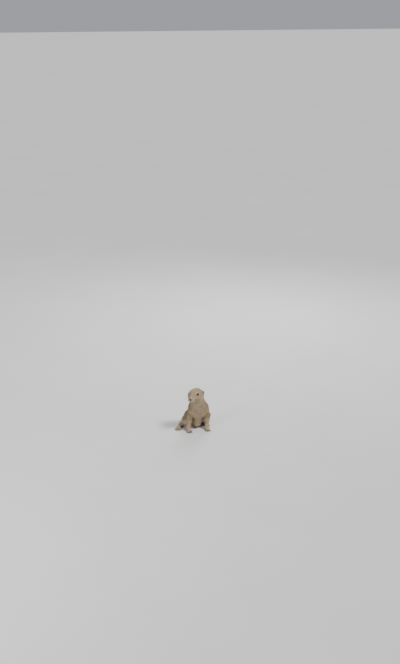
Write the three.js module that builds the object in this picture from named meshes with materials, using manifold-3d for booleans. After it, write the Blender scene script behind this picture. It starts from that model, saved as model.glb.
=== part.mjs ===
// A prairie dog sitting on its haunches, forelegs straight and head turned to its right: life size, in millimetres.
// The animal faces -Y, its left is +X and the floor is z = 0. Its surface is one field of blended balls and limbs,
// meshed sub-part by sub-part and parted by thin cuts.
import * as THREE from 'three';
import { mergeVertices } from 'three/addons/utils/BufferGeometryUtils.js';
import Module from 'manifold-3d';

const wasm = await Module();
wasm.setup();

// Driving dimensions. Places are [x, y, z] from the floor point between the wrists; SIDES mirror x.
const SIDES = { left: 1, right: -1 };
const GAP = 0.3; // between neighbouring sub-parts
const ORIGIN = [-16.2, 61.5]; // the middle of the whole animal's footprint, which becomes x = y = 0
const GRAIN = 1.0; // multiplies every mesh step
const FINEST = 0.005; // grid that the finished corners lie on

const HEAD_AT = [-8.6, 5.6, 142.6]; // middle of the skull
const HEAD_TURN = -40; // degrees about the vertical, towards the animal's right
const HEAD_TILT = -6; // degrees about the line to the nose, its left side up
const HEAD_NOD = 2; // degrees, nose down
const SNOUT = 40; // from the middle of the skull to the tip of the nose
const EYE = { at: [16, -13.2, 5.2], radius: 5.3, looks: [0.86, -0.45, 0.22] };
const LID = { radius: 5.1, thick: 1.0, forward: 2.6, height: 0.86 };
const EAR = { at: [23.4, 16.5, 0.8], size: [4.6, 4.9, 6.4], wall: 0.9, faces: [0.86, -0.46, 0.22] };
const NOSE_PAD = { at: [0, -39.5, -6.2], size: [3.5, 2.9, 3] };
const NOSTRIL = { at: [1.9, -41.9, -6.6], size: [0.85, 1.6, 1] };
const MOUTH = { front: -14.6, rise: 7, slot: 0.9, depth: 1.7, corner: -21 };

const CHEST = { middle: 5.2, shoulder: 84, elbow: 51 };
const FORE = { shoulder: 21.5, elbow: 33.2, stance: 35, reach: 15 }; // half-widths, stance from x = 0
const HIP = { height: 35, back: 52, half: 19.5 };
const WRIST = 12.5; // height of the wrist
const TAIL_PATH = [[0, 78, 15], [2, 96, 9.4], [7, 116, 7.2], [14, 134, 6.2], [21, 149, 4.2]];
const TAIL_HALF_WIDTH = [13, 11.5, 10.5, 9.4, 5.6];
const TAIL_FLATNESS = 0.78; // height over width
const CLAW = { fore: 5.8, thumb: 3.5, hind: 4.7, thick: 1.2, thin: 0.3 }; // lengths past the toe, and radii

const FUR_COLOUR = '#b39a78';
const PALE_COLOUR = '#d2c3a6';
const TAIL_COLOUR = '#3b2f26';
const SKIN_COLOUR = '#5b463a';
const CLAW_COLOUR = '#2c2521';
const EYE_COLOUR = '#120d0b';

const radians = THREE.MathUtils.degToRad;
const mix = THREE.MathUtils.lerp;
const long = (x, y, z) => Math.sqrt(x * x + y * y + z * z);
const ramp = THREE.MathUtils.smoothstep;

// Fields: each takes x, y, z and gives the distance to a surface in mm, negative inside it.

// An ellipsoid, turned by degrees about x, y and z.
function ball([cx, cy, cz], [rx, ry, rz], turn = [0, 0, 0]) {
  const m = new THREE.Matrix4().makeRotationFromEuler(new THREE.Euler(...turn.map(radians))).elements;
  return (x, y, z) => {
    const [dx, dy, dz] = [x - cx, y - cy, z - cz];
    const a = (m[0] * dx + m[1] * dy + m[2] * dz) / rx;
    const b = (m[4] * dx + m[5] * dy + m[6] * dz) / ry;
    const c = (m[8] * dx + m[9] * dy + m[10] * dz) / rz;
    const reach = long(a, b, c);
    const slope = long(a / rx, b / ry, c / rz);
    return slope < 1e-9 ? -Math.min(rx, ry, rz) : (reach * (reach - 1)) / slope;
  };
}

// A round limb from one joint to the next, its radius going from thick to thin. Flat under 1 squeezes it in height.
function limb([ax, ay, az], [bx, by, bz], thick, thin, flat = 1) {
  const [ex, ey, ez] = [bx - ax, by - ay, (bz - az) / flat];
  const length2 = ex * ex + ey * ey + ez * ez;
  return (x, y, z) => {
    const [dx, dy, dz] = [x - ax, y - ay, (z - az) / flat];
    const t = Math.min(1, Math.max(0, (dx * ex + dy * ey + dz * ez) / length2));
    return (long(dx - t * ex, dy - t * ey, dz - t * ez) - mix(thick, thin, t)) * Math.min(1, flat);
  };
}

// Two distances joined with a fillet about k wide.
function blend(a, b, k) {
  const h = Math.max(k - Math.abs(a - b), 0) / k;
  return Math.min(a, b) - (h * h * k) / 4;
}

const joined = (k, ...fields) => (x, y, z) => fields.reduce((d, f) => blend(d, f(x, y, z), k), 1e6);

// A field drawn in a turned frame, read from outside it.
function placed(frame, field) {
  const m = frame.clone().invert().elements;
  return (x, y, z) => field(
    m[0] * x + m[4] * y + m[8] * z + m[12],
    m[1] * x + m[5] * y + m[9] * z + m[13],
    m[2] * x + m[6] * y + m[10] * z + m[14],
  );
}

const headFrame = new THREE.Matrix4()
  .makeRotationFromEuler(new THREE.Euler(radians(HEAD_NOD), radians(HEAD_TILT), radians(HEAD_TURN), 'ZYX'))
  .setPosition(...HEAD_AT);

const both = (make) => Object.values(SIDES).map(make);

// The head in its own frame: nose towards -y, crown up, from the middle of the skull.
function headField() {
  const skull = joined(9,
    ball([0, 4.5, -0.5], [23, 26.5, 18.8]),
    ball([0, -13, 2], [15.5, 16, 13.5], [14, 0, 0]),
    ...both((s) => ball([s * 17, 3, -7.5], [13, 19, 14])),
    ...both((s) => ball([s * 12.4, -11.5, 8], [6.2, 8.5, 5.8])));
  const muzzle = joined(7,
    limb([0, -14, -4.5], [0, -SNOUT + 12, -8.8], 15.5, 9.6),
    limb([0, -14, 4], [0, -SNOUT + 5, -5.4], 9, 4.8),
    ...both((s) => ball([s * 5.4, -SNOUT + 7.4, -11.2], [5.6, 6.4, 5.4])),
    limb([0, 4, -15], [0, -SNOUT + 12.5, -16.2], 10.5, 5.2));
  const flesh = joined(8, skull, muzzle);
  // The hollow that the eye sits in.
  const sockets = both((s) => ball([s * 22.6, -15.6, 5.6], [4.6, 5.2, 4.4]));
  return (x, y, z) => sockets.reduce((d, f) => -blend(-d, f(x, y, z), 4), flesh(x, y, z));
}

// The trunk, upright at the chest, narrow at the keel between the forelegs and round at the rump.
function trunkField() {
  return joined(11,
    ball([CHEST.middle, 15, 82], [27, 27, 40], [-8, 0, 0]),
    ...both((s) => ball([CHEST.middle + s * 17, 16, 75], [14, 20, 26], [-10, 0, 0])),
    ball([3, 37, 64], [28, 29, 50], [27, 0, 0]),
    ball([0, HIP.back, 34], [33, 34, 36], [12, 0, 0]),
    ball([2, 27, 31], [15, 20, 28.5]),
    limb([CHEST.middle - 1, 6, 68], [2, 18, 22], 12, 9));
}

const neckField = limb([2, 17, 100], [-3, 9, 134], 24, 23.5);

// A foreleg, with its five toes spread over the floor.
const FORE_TOES = [[-6.8, -2.5, -9.6, -9], [-5.2, -7.5, -7.4, -16.8], [-1.9, -8.5, -2.6, -20.2], [1.9, -8.5, 2.6, -19.8],
  [5.3, -7.5, 7.6, -16.4]]; // root x, y and tip x, y from the wrist, the thumb first, on the animal's left
function forelegField(s) {
  const x = s * FORE.stance;
  const elbow = [CHEST.middle + s * FORE.elbow, 16, CHEST.elbow];
  const arm = joined(8,
    limb([CHEST.middle + s * FORE.shoulder, 14, CHEST.shoulder], elbow, 15, 11.6),
    limb(elbow, [x, 1.5, WRIST], 11.2, 7.2),
    ball([x, -4.5, 5.4], [7.8, 10, 5.6]));
  const toes = FORE_TOES.map(([rx, ry, tx, ty], i) => limb([x + s * rx, ry, 4.2], [x + s * tx, ty, 1.9],
    i ? 2.4 : 1.9, i ? 1.85 : 1.5));
  return (px, py, pz) => toes.reduce((d, f) => blend(d, f(px, py, pz), 1.4), arm(px, py, pz));
}

// The hind legs sit unlike: the right one splayed, the left one tucked behind the foreleg.
const HIND = {
  left: { knee: [33, 31, 33], heel: [37, 62, 8], ball: [39.5, 36, 6.2], points: 3 },
  right: { knee: [-38, 28, 32], heel: [-52, 50, 8], ball: [-67, 25, 6.2], points: 30 },
}; // points: degrees outwards that the toes point
const HIND_TOES = [[-6.4, 1, -9.8, -8.6], [-3.5, -1, -5.3, -14.6], [0, -2, 0, -16.8], [3.5, -1.5, 5.2, -15.4],
  [6.6, 2, 9.8, -9.2]]; // root and tip from the ball of the foot, along the foot
function hindFrame(side) {
  const { ball: at, points } = HIND[side];
  return new THREE.Matrix4().makeRotationZ(radians(SIDES[side] * points)).setPosition(at[0], at[1], 0);
}
function hindlegField(side) {
  const s = SIDES[side];
  const { knee, heel, ball: toeRoot } = HIND[side];
  const haunch = joined(12,
    limb([s * HIP.half, HIP.back, HIP.height], knee, 23, 15),
    limb(knee, heel, 14, 8));
  const foot = joined(5, limb(heel, toeRoot, 7.6, 7.4, 0.8), limb(heel, [heel[0], heel[1] - 8, 13], 7.5, 8));
  const toes = HIND_TOES.map(([rx, ry, tx, ty], i) => limb([s * rx, ry, 4.4], [s * tx, ty, 1.95],
    i % 4 ? 2.6 : 2.2, i % 4 ? 1.9 : 1.7));
  const spread = placed(hindFrame(side), (x, y, z) => toes.reduce((d, f) => blend(d, f(x, y, z), 1.4), 1e6));
  return (x, y, z) => blend(blend(haunch(x, y, z), foot(x, y, z), 6), spread(x, y, z), 1.8);
}

// The tail lies flat on the floor, broadest near its root.
function tailField() {
  const lengths = TAIL_PATH.slice(1).map((to, i) => limb(TAIL_PATH[i], to, TAIL_HALF_WIDTH[i],
    TAIL_HALF_WIDTH[i + 1], TAIL_FLATNESS));
  return joined(0.8, ...lengths);
}

const parts = {
  trunk: trunkField(), neck: neckField, head: placed(headFrame, headField()), tail: tailField(),
  fore: both(forelegField), hind: Object.keys(SIDES).map(hindlegField),
};

// The whole animal. Legs blend widely with the trunk above and hardly at all near the floor, so that gaps stay open.
function animal(x, y, z) {
  let d = blend(parts.trunk(x, y, z), parts.neck(x, y, z), 20);
  d = blend(d, parts.head(x, y, z), 10);
  const armFillet = mix(2, 14, ramp(z, 46, 78));
  for (const foreleg of parts.fore) d = blend(d, foreleg(x, y, z), armFillet);
  const haunchFillet = mix(2, 13, ramp(z, 10, 34));
  for (const hindleg of parts.hind) d = blend(d, hindleg(x, y, z), haunchFillet);
  return blend(d, parts.tail(x, y, z), 9);
}

// Solids

// A closed mesh as a solid that can be cut and joined.
function solid(geometry) {
  const bare = geometry.clone();
  for (const name of Object.keys(bare.attributes)) if (name !== 'position') bare.deleteAttribute(name);
  const merged = mergeVertices(bare, 1e-4);
  return new wasm.Manifold(new wasm.Mesh({
    numProp: 3, vertProperties: merged.attributes.position.array, triVerts: new Uint32Array(merged.index.array),
  }));
}

// The surface where the field equals level, over a box of grid cells in the given frame. Each cell that it passes
// gets one vertex, moved onto the surface, and each grid edge that it crosses gets a face. The box closes it.
function surface(field, frame, low, high, step, level = 0) {
  const inFrame = placed(frame.clone().invert(), (x, y, z) => field(x, y, z) - level);
  const count = low.map((l, i) => Math.max(3, Math.round((high[i] - l) / (step[i] * GRAIN))) + 1);
  const size = low.map((l, i) => (high[i] - l) / (count[i] - 1));
  const [nx, ny, nz] = count;
  const at = (i, j, k) => (k * ny + j) * nx + i;
  const value = new Float64Array(nx * ny * nz);
  const place = (i, j, k) => [low[0] + i * size[0], low[1] + j * size[1], low[2] + k * size[2]];
  const edge = (i, j, k) => !i || !j || !k || i === nx - 1 || j === ny - 1 || k === nz - 1;
  for (let k = 0; k < nz; k++) for (let j = 0; j < ny; j++) for (let i = 0; i < nx; i++) {
    const d = inFrame(...place(i, j, k));
    value[at(i, j, k)] = edge(i, j, k) ? Math.max(d, 0.05) : d;
  }
  uncross(value, at, count);
  const vertices = [];
  const cell = new Int32Array(nx * ny * nz).fill(-1);
  const ends = [[0, 0, 0], [1, 0, 0], [0, 1, 0], [1, 1, 0], [0, 0, 1], [1, 0, 1], [0, 1, 1], [1, 1, 1]];
  for (let k = 0; k < nz - 1; k++) for (let j = 0; j < ny - 1; j++) for (let i = 0; i < nx - 1; i++) {
    const sum = [0, 0, 0];
    let crossings = 0;
    for (let a = 0; a < 8; a++) for (const axis of [1, 2, 4]) {
      if (a & axis) continue;
      const [p, q] = [ends[a], ends[a | axis]];
      const [u, v] = [p, q].map((e) => value[at(i + e[0], j + e[1], k + e[2])]);
      if ((u < 0) === (v < 0)) continue;
      const t = u / (u - v);
      crossings++;
      for (let c = 0; c < 3; c++) sum[c] += mix(p[c], q[c], t);
    }
    if (!crossings) continue;
    const point = place(i + sum[0] / crossings, j + sum[1] / crossings, k + sum[2] / crossings);
    const border = !i || !j || !k || i === nx - 2 || j === ny - 2 || k === nz - 2;
    cell[at(i, j, k)] = vertices.length;
    vertices.push(border ? point : onto(inFrame, point, 0.45 * Math.min(...size)));
  }
  const triangles = [];
  const far = (a, b) => Math.hypot(...[0, 1, 2].map((c) => vertices[a][c] - vertices[b][c]));
  for (let k = 0; k < nz - 1; k++) for (let j = 0; j < ny - 1; j++) for (let i = 0; i < nx - 1; i++) {
    const here = value[at(i, j, k)] < 0;
    const around = [
      [j && k, at(i + 1, j, k), [at(i, j, k), at(i, j - 1, k), at(i, j - 1, k - 1), at(i, j, k - 1)]],
      [i && k, at(i, j + 1, k), [at(i, j, k), at(i, j, k - 1), at(i - 1, j, k - 1), at(i - 1, j, k)]],
      [i && j, at(i, j, k + 1), [at(i, j, k), at(i - 1, j, k), at(i - 1, j - 1, k), at(i, j - 1, k)]],
    ];
    for (const [inside, next, cells] of around) {
      if (!inside || here === value[next] < 0) continue;
      const [a, b, c, d] = (here ? cells : cells.slice().reverse()).map((n) => cell[n]);
      triangles.push(...(far(a, c) < far(b, d) ? [a, b, c, a, c, d] : [a, b, d, b, c, d]));
    }
  }
  const geometry = new THREE.BufferGeometry();
  geometry.setAttribute('position', new THREE.BufferAttribute(new Float32Array(vertices.flat()), 3));
  geometry.setIndex(triangles);
  geometry.applyMatrix4(frame);
  return solid(geometry);
}

// Where inside and outside alternate round a grid square, two sheets would meet in one edge: one outer corner that
// isn't on the border is turned into an inner one, until no such square is left.
function uncross(value, at, [nx, ny, nz]) {
  const squares = [[[1, 0, 0], [0, 1, 0]], [[1, 0, 0], [0, 0, 1]], [[0, 1, 0], [0, 0, 1]]];
  for (let found = true; found;) {
    found = false;
    for (let k = 1; k < nz - 2; k++) for (let j = 1; j < ny - 2; j++) for (let i = 1; i < nx - 2; i++) {
      for (const [u, v] of squares) {
        const ring = [at(i, j, k), at(i + u[0], j + u[1], k + u[2]),
          at(i + u[0] + v[0], j + u[1] + v[1], k + u[2] + v[2]), at(i + v[0], j + v[1], k + v[2])];
        const [a, b, c, d] = ring.map((n) => value[n] < 0);
        if (a !== c || b !== d || a === b) continue;
        const outer = ring.filter((n) => value[n] >= 0).sort((m, n) => value[m] - value[n]);
        value[outer[0]] = -1e-3;
        found = true;
      }
    }
  }
}

// A point moved onto the field's surface along its slope, at most by reach.
function onto(field, start, reach) {
  let p = start;
  for (let pass = 0; pass < 3; pass++) {
    const d = field(...p);
    const slope = [0, 1, 2].map((c) => {
      const [q, r] = [p.slice(), p.slice()];
      q[c] += 0.05;
      r[c] -= 0.05;
      return (field(...q) - field(...r)) / 0.1;
    });
    const steep = Math.hypot(...slope) || 1;
    const move = -d / (steep * steep);
    p = p.map((v, c) => v + slope[c] * move);
  }
  const drift = Math.hypot(...p.map((v, c) => v - start[c]));
  return drift > reach ? start.map((v, c) => mix(v, p[c], reach / drift)) : p;
}

// Everything on the side of a plane that its normal points to.
function beyond(point, normal) {
  const BIG = 500;
  const box = new THREE.BoxGeometry(BIG, BIG, BIG);
  box.translate(0, 0, BIG / 2);
  const up = new THREE.Vector3(...normal).normalize();
  box.applyQuaternion(new THREE.Quaternion().setFromUnitVectors(new THREE.Vector3(0, 0, 1), up));
  box.translate(...point);
  return solid(box);
}

// The two sides of a cut GAP wide.
function parted(whole, point, normal) {
  const unit = new THREE.Vector3(...normal).normalize();
  const half = (sign) => {
    const from = new THREE.Vector3(...point).addScaledVector(unit, (sign * GAP) / 2);
    return largest(whole.intersect(beyond(from.toArray(), unit.clone().multiplyScalar(sign).toArray())));
  };
  return [half(1), half(-1)];
}

function egg(centre, radii, around = 20, down = 14, frame = new THREE.Matrix4()) {
  const geometry = new THREE.SphereGeometry(1, around, down);
  geometry.scale(...radii);
  geometry.translate(...centre);
  geometry.applyMatrix4(frame);
  return solid(geometry);
}

function largest(whole) {
  const pieces = whole.decompose();
  return pieces.reduce((best, piece) => (piece.volume() > best.volume() ? piece : best), pieces[0]);
}

// A tapered spike along a curve, its sections round and its two ends closed.
function spike(points, radius, rings, sides) {
  const curve = new THREE.CatmullRomCurve3(points.map((p) => new THREE.Vector3(...p)));
  const frames = curve.computeFrenetFrames(rings);
  const positions = [];
  for (let i = 0; i <= rings; i++) {
    const centre = curve.getPointAt(i / rings);
    for (let j = 0; j < sides; j++) {
      const angle = (j / sides) * 2 * Math.PI;
      positions.push(...centre.clone()
        .addScaledVector(frames.normals[i], radius(i / rings) * Math.cos(angle))
        .addScaledVector(frames.binormals[i], radius(i / rings) * Math.sin(angle)).toArray());
    }
  }
  const index = [];
  for (let i = 0; i < rings; i++) for (let j = 0; j < sides; j++) {
    const [a, b] = [i * sides + j, i * sides + ((j + 1) % sides)];
    index.push(a, b, a + sides, b, b + sides, a + sides);
  }
  for (let j = 1; j < sides - 1; j++) {
    index.push(0, j + 1, j);
    index.push(rings * sides, rings * sides + j, rings * sides + j + 1);
  }
  const geometry = new THREE.BufferGeometry();
  geometry.setAttribute('position', new THREE.BufferAttribute(new Float32Array(positions), 3));
  geometry.setIndex(index);
  const made = solid(geometry);
  return made.volume() > 0 ? made : undefined;
}

const group = new THREE.Group();
group.position.set(-ORIGIN[0], -ORIGIN[1], 0);

// A solid's surface with its corners on a grid of FINEST, so that no shorter edge is left, and no face folded flat.
function shell(made) {
  const { vertProperties, triVerts } = made.getMesh();
  const snapped = new THREE.BufferGeometry();
  const corners = vertProperties.map((v) => Math.round(v / FINEST) * FINEST);
  snapped.setAttribute('position', new THREE.BufferAttribute(corners, 3));
  snapped.setIndex(new THREE.BufferAttribute(triVerts, 1));
  const geometry = mergeVertices(snapped, FINEST / 4);
  const faces = new Map();
  const old = geometry.index.array;
  for (let i = 0; i < old.length; i += 3) {
    const face = Array.from(old.subarray(i, i + 3));
    if (new Set(face).size < 3) continue;
    const key = face.slice().sort().join();
    if (!faces.delete(key)) faces.set(key, face);
  }
  geometry.setIndex([...faces.values()].flat());
  geometry.computeVertexNormals();
  return geometry;
}

function add(name, made, colour, roughness = 0.9) {
  const finish = new THREE.MeshStandardMaterial({ color: colour, roughness, metalness: 0 });
  const mesh = new THREE.Mesh(shell(largest(made)), finish);
  mesh.name = name;
  group.add(mesh);
}

const upright = new THREE.Matrix4();
const aboveFloor = beyond([0, 0, 0], [0, 0, 1]);
const inHead = ([x, y, z]) => new THREE.Vector3(x, y, z).applyMatrix4(headFrame).toArray();
const headward = (v) => new THREE.Vector3(...v).transformDirection(headFrame).toArray();
const mirrored = ([x, y, z], s) => [s * x, y, z];

// Cuts that part one length of the body from the next: a point on each and the way it faces.
const CUTS = {
  throat: { at: [-6, 8, 122], faces: headward([0, -0.42, 0.9]) },
  collar: { at: [0, 17, 103], faces: [0, -0.25, 0.97] },
  waist: { at: [0, 36, 58], faces: [0, -0.72, 0.69] },
  tailRoot: { at: [0, 87, 16], faces: [0, 1, -0.15] },
  tailTip: { at: [11, 127, 7], faces: [0.36, 0.93, 0] },
};

// The head, with lids, the line of the mouth and places for the eyes, ears and nose.
function headParts() {
  let skull = surface(animal, headFrame, [-34, -45, -34], [34, 36, 27], [3.45, 3.8, 3.3]);
  skull = largest(skull.intersect(beyond(
    new THREE.Vector3(...CUTS.throat.at).addScaledVector(new THREE.Vector3(...CUTS.throat.faces), GAP / 2).toArray(),
    CUTS.throat.faces)));
  for (const s of Object.values(SIDES)) skull = skull.add(eyelid(s));
  skull = skull.subtract(mouthSlot());
  const pad = nosePad(0);
  skull = skull.subtract(nosePad(GAP));
  for (const [side, s] of Object.entries(SIDES)) {
    skull = skull.subtract(egg(mirrored(EYE.at, s), Array(3).fill(EYE.radius + GAP), 14, 10, headFrame));
    const eye = egg(mirrored(EYE.at, s), Array(3).fill(EYE.radius), 14, 10, headFrame);
    add('eye_' + side, eye, EYE_COLOUR, 0.15);
    add('ear_' + side, ear(s), FUR_COLOUR);
  }
  add('head', skull, FUR_COLOUR);
  add('nose', pad, SKIN_COLOUR, 0.6);
}

// The rim of the lids: a ring round the eye, longer than it is high.
function eyelid(s) {
  const looks = new THREE.Vector3(...mirrored(EYE.looks, s)).normalize();
  const ring = new THREE.TorusGeometry(LID.radius, LID.thick, 5, 15);
  ring.scale(1, LID.height, 1);
  const across = new THREE.Vector3(0, 0, 1).cross(looks).normalize();
  const turn = new THREE.Matrix4().makeBasis(across, looks.clone().cross(across), looks);
  turn.setPosition(new THREE.Vector3(...mirrored(EYE.at, s)).addScaledVector(looks, LID.forward));
  ring.applyMatrix4(headFrame.clone().multiply(turn));
  return solid(ring);
}

// A thin curved plate that cuts the line of the mouth into both lips.
function mouthSlot() {
  const outline = new THREE.Shape();
  outline.absellipse(0, MOUTH.corner, 18, SNOUT + MOUTH.corner + 4, Math.PI, 2 * Math.PI);
  outline.absellipse(0, MOUTH.corner, 12.4 - MOUTH.depth, SNOUT + MOUTH.corner - 4.6 - MOUTH.depth, 2 * Math.PI,
    Math.PI, true);
  outline.closePath();
  const plate = new THREE.ExtrudeGeometry(outline, { depth: MOUTH.slot, bevelEnabled: false, curveSegments: 8 });
  plate.translate(0, -MOUTH.corner, 0);
  plate.rotateX(radians(MOUTH.rise));
  plate.translate(0, MOUTH.corner, MOUTH.front + 2.2);
  plate.applyMatrix4(headFrame);
  return solid(plate);
}

// The leathery pad of the nose with its two nostrils.
function nosePad(extra) {
  let pad = egg(NOSE_PAD.at, NOSE_PAD.size.map((r) => r + extra), 12, 8, headFrame);
  if (extra) return pad;
  for (const s of Object.values(SIDES)) pad = pad.subtract(egg(mirrored(NOSTRIL.at, s), NOSTRIL.size, 8, 6, headFrame));
  return pad;
}

// A small rounded ear: a thin cup, open forwards and outwards, standing on the side of the head.
function ear(s) {
  const faces = new THREE.Vector3(...mirrored(EAR.faces, s)).normalize();
  const across = new THREE.Vector3(0, 0, 1).cross(faces).normalize();
  const stand = new THREE.Matrix4().makeBasis(across, faces.clone().cross(across), faces);
  stand.setPosition(...mirrored(EAR.at, s));
  const frame = headFrame.clone().multiply(stand);
  const [deep, wide, tall] = EAR.size;
  const cup = egg([0, 0, 0], [wide, tall, deep], 14, 10, frame);
  const bowl = egg([0, 0, 1.4], [wide - EAR.wall, tall - EAR.wall, deep - EAR.wall + 0.5], 14, 10, frame);
  const mouth = beyond(inHead(new THREE.Vector3(0, 0, 1.2).applyMatrix4(stand).toArray()), headward(faces.toArray()));
  const at = mirrored(EAR.at, s);
  const root = surface(animal, headFrame, at.map((v) => v - 13), at.map((v) => v + 13), [3, 3, 3], GAP);
  return largest(cup.subtract(bowl).subtract(mouth).subtract(root));
}

// Everything below the head: neck, trunk and tail along the spine, each leg cut off by a ball round its root.
function bodyParts() {
  const legs = Object.fromEntries(Object.keys(SIDES).map((side) => [side, legCutters(side)]));
  const cutters = Object.values(legs).flatMap(({ arm, haunch, foreFoot, hindFoot }) => [arm, haunch, foreFoot, hindFoot]);

  let neck = surface(animal, upright, [-42, -32, 88], [42, 54, 146], [7, 7, 6]);
  neck = parted(neck, CUTS.throat.at, CUTS.throat.faces)[1];
  neck = parted(neck, CUTS.collar.at, CUTS.collar.faces)[0];
  for (const cut of cutters) neck = neck.subtract(cut(GAP));
  add('neck', neck, FUR_COLOUR);

  const trunk = surface(animal, upright, [-52, -30, -6], [52, 100, 120], [7.4, 7.4, 7.4]);
  let torso = parted(trunk, CUTS.collar.at, CUTS.collar.faces)[1].intersect(aboveFloor);
  torso = parted(torso, CUTS.tailRoot.at, CUTS.tailRoot.faces)[1];
  for (const cut of cutters) torso = torso.subtract(cut(GAP));
  const [chest, rump] = parted(torso, CUTS.waist.at, CUTS.waist.faces);
  add('chest', chest, PALE_COLOUR);
  add('rump', rump, FUR_COLOUR);

  for (const [side, s] of Object.entries(SIDES)) {
    const { arm, haunch, foreFoot, hindFoot } = legs[side];
    forelegParts(side, s, arm, foreFoot, cutters);
    hindlegParts(side, s, haunch, hindFoot, arm, foreFoot);
  }
  tailParts(Object.values(legs).map(({ haunch }) => haunch));
}

// Closed volumes that take each leg out of the body. Given GAP, each is that much bigger all round.
function legCutters(side) {
  const s = SIDES[side];
  const { knee, heel, ball: toeRoot } = HIND[side];
  const arm = (extra) => egg([CHEST.middle + s * 34, 14, 72], [17, 21, 34].map((r) => r + extra), 16, 10);
  const foreFoot = (extra) => {
    const side = new THREE.Shape();
    const [front, back, elbow, top] = [-30 - extra, 13 + extra, 26 + extra, CHEST.elbow + extra];
    side.setFromPoints([[front, -4 - extra], [back, -4 - extra], [back, 14], [elbow, 40], [elbow, top], [front, top]]
      .map(([y, z]) => new THREE.Vector2(y, z)));
    const block = new THREE.ExtrudeGeometry(side, { depth: 2 * (FORE.reach + extra), bevelEnabled: false });
    block.applyMatrix4(new THREE.Matrix4().makeBasis(...[[0, 1, 0], [0, 0, 1], [1, 0, 0]]
      .map((v) => new THREE.Vector3(...v))));
    block.translate((CHEST.middle + s * (FORE.elbow + FORE.stance)) / 2 - FORE.reach - extra, 0, 0);
    return solid(block);
  };
  const middle = [(s * HIP.half + knee[0]) / 2 + s * 7, (HIP.back + knee[1]) / 2 - 2, 40];
  const haunch = (extra) => egg(middle, [27, 38, 35].map((r) => r + extra), 16, 12);
  const hindFoot = (extra) => {
    const long = Math.hypot(toeRoot[0] - heel[0], toeRoot[1] - heel[1]);
    const box = new THREE.BoxGeometry(25 + 2 * extra, long + 44 + 2 * extra, 20 + 2 * extra);
    box.translate(0, -8, 4);
    const direction = Math.atan2(toeRoot[0] - heel[0], heel[1] - toeRoot[1]);
    box.rotateZ(direction);
    box.translate((toeRoot[0] + heel[0]) / 2, (toeRoot[1] + heel[1]) / 2, 0);
    return solid(box);
  };
  return { arm, haunch, foreFoot, hindFoot };
}

function forelegParts(side, s, arm, foreFoot, cutters) {
  const x = s * FORE.stance;
  const upper = surface(animal, upright, [x - 26, -16, 30], [x + 26, 46, 112], [5.6, 5.6, 6.4]);
  const shoulder = upper.intersect(arm(0)).subtract(foreFoot(GAP));
  add('upper_arm_' + side, parted(shoulder, CUTS.collar.at, CUTS.collar.faces)[1], FUR_COLOUR);

  const lower = surface(animal, upright, [x - 20, -34, -4], [x + 20, 36, 62], [4.0, 4.0, 6.0]);
  const forearm = lower.intersect(foreFoot(0)).intersect(beyond([0, 0, WRIST + GAP], [0, 0, 1]));
  add('forearm_' + side, forearm, FUR_COLOUR);

  const grid = [[x - 15, -27, -3], [x + 15, 16, 18], [2.1, 3.0, 2.3]];
  const hand = surface(animal, upright, ...grid);
  const paw = hand.intersect(beyond([0, 0, WRIST], [0, 0, -1])).intersect(aboveFloor);
  add('forepaw_' + side, paw, PALE_COLOUR);
  const around = surface(animal, upright, ...grid, GAP);
  FORE_TOES.forEach(([, , tx, ty], i) => {
    claw('foreclaw_' + side + '_' + (i + 1), upright, [x + s * tx, ty], [s * tx * 0.06, -1],
      i ? CLAW.fore : CLAW.thumb, around);
  });
}

function hindlegParts(side, s, haunch, hindFoot, arm, foreFoot) {
  const { knee, heel } = HIND[side];
  const across = knee[0];
  let leg = surface(animal, upright, [across - 34, -4, -5], [across + 34, 94, 76], [6.6, 6.6, 6.6]);
  leg = leg.intersect(haunch(0)).intersect(aboveFloor).subtract(hindFoot(GAP)).subtract(arm(GAP)).subtract(foreFoot(GAP));
  leg = parted(leg, CUTS.tailRoot.at, CUTS.tailRoot.faces)[1];
  add('haunch_' + side, leg, FUR_COLOUR);

  const frame = hindFrame(side);
  const grid = [[-20, -26, -3], [20, 50, 17], [2.5, 4.3, 2.7]];
  const foot = surface(animal, frame, ...grid);
  add('hind_foot_' + side, foot.intersect(hindFoot(0)).intersect(aboveFloor).subtract(foreFoot(GAP)), PALE_COLOUR);
  const around = surface(animal, frame, ...grid, GAP);
  HIND_TOES.forEach(([, , tx, ty], i) => {
    claw('hindclaw_' + side + '_' + (i + 1), frame, [s * tx, ty], [s * tx * 0.05, -1], CLAW.hind, around);
  });
}

// A curved claw that comes out of the end of a toe and stops just over the floor.
function claw(name, frame, [x, y], [turn, ahead], length, around) {
  const along = (t, z) => new THREE.Vector3(x + turn * length * t, y + ahead * length * t, z)
    .applyMatrix4(frame).toArray();
  const made = spike([along(-0.1, 2.5), along(0.45, 3.1), along(0.85, 2.4), along(1.25, 0.75)],
    (t) => mix(CLAW.thick, CLAW.thin, t ** 1.5), 3, 4);
  add(name, made.subtract(around), CLAW_COLOUR, 0.45);
}

function tailParts(haunches) {
  let tail = surface(animal, upright, [-24, 74, -4], [42, 168, 34], [4.4, 6, 4.2]);
  tail = parted(tail.intersect(aboveFloor), CUTS.tailRoot.at, CUTS.tailRoot.faces)[0];
  for (const haunch of haunches) tail = tail.subtract(haunch(GAP));
  const [tip, base] = parted(tail, CUTS.tailTip.at, CUTS.tailTip.faces);
  add('tail_base', base, FUR_COLOUR);
  add('tail_tip', tip, TAIL_COLOUR);
}

headParts();
bodyParts();

export default group;
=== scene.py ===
"""Dresses a packed prairie dog: a skin, tufts of short fur, eyes, lids, ears, nose, whiskers and claws.

Lengths of the animal are in millimetres from the floor point between its wrists, with -Y the way its body
faces, +X its left and +Z up. to_frame turns them into metres in the row's frame.
"""

import math

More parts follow.
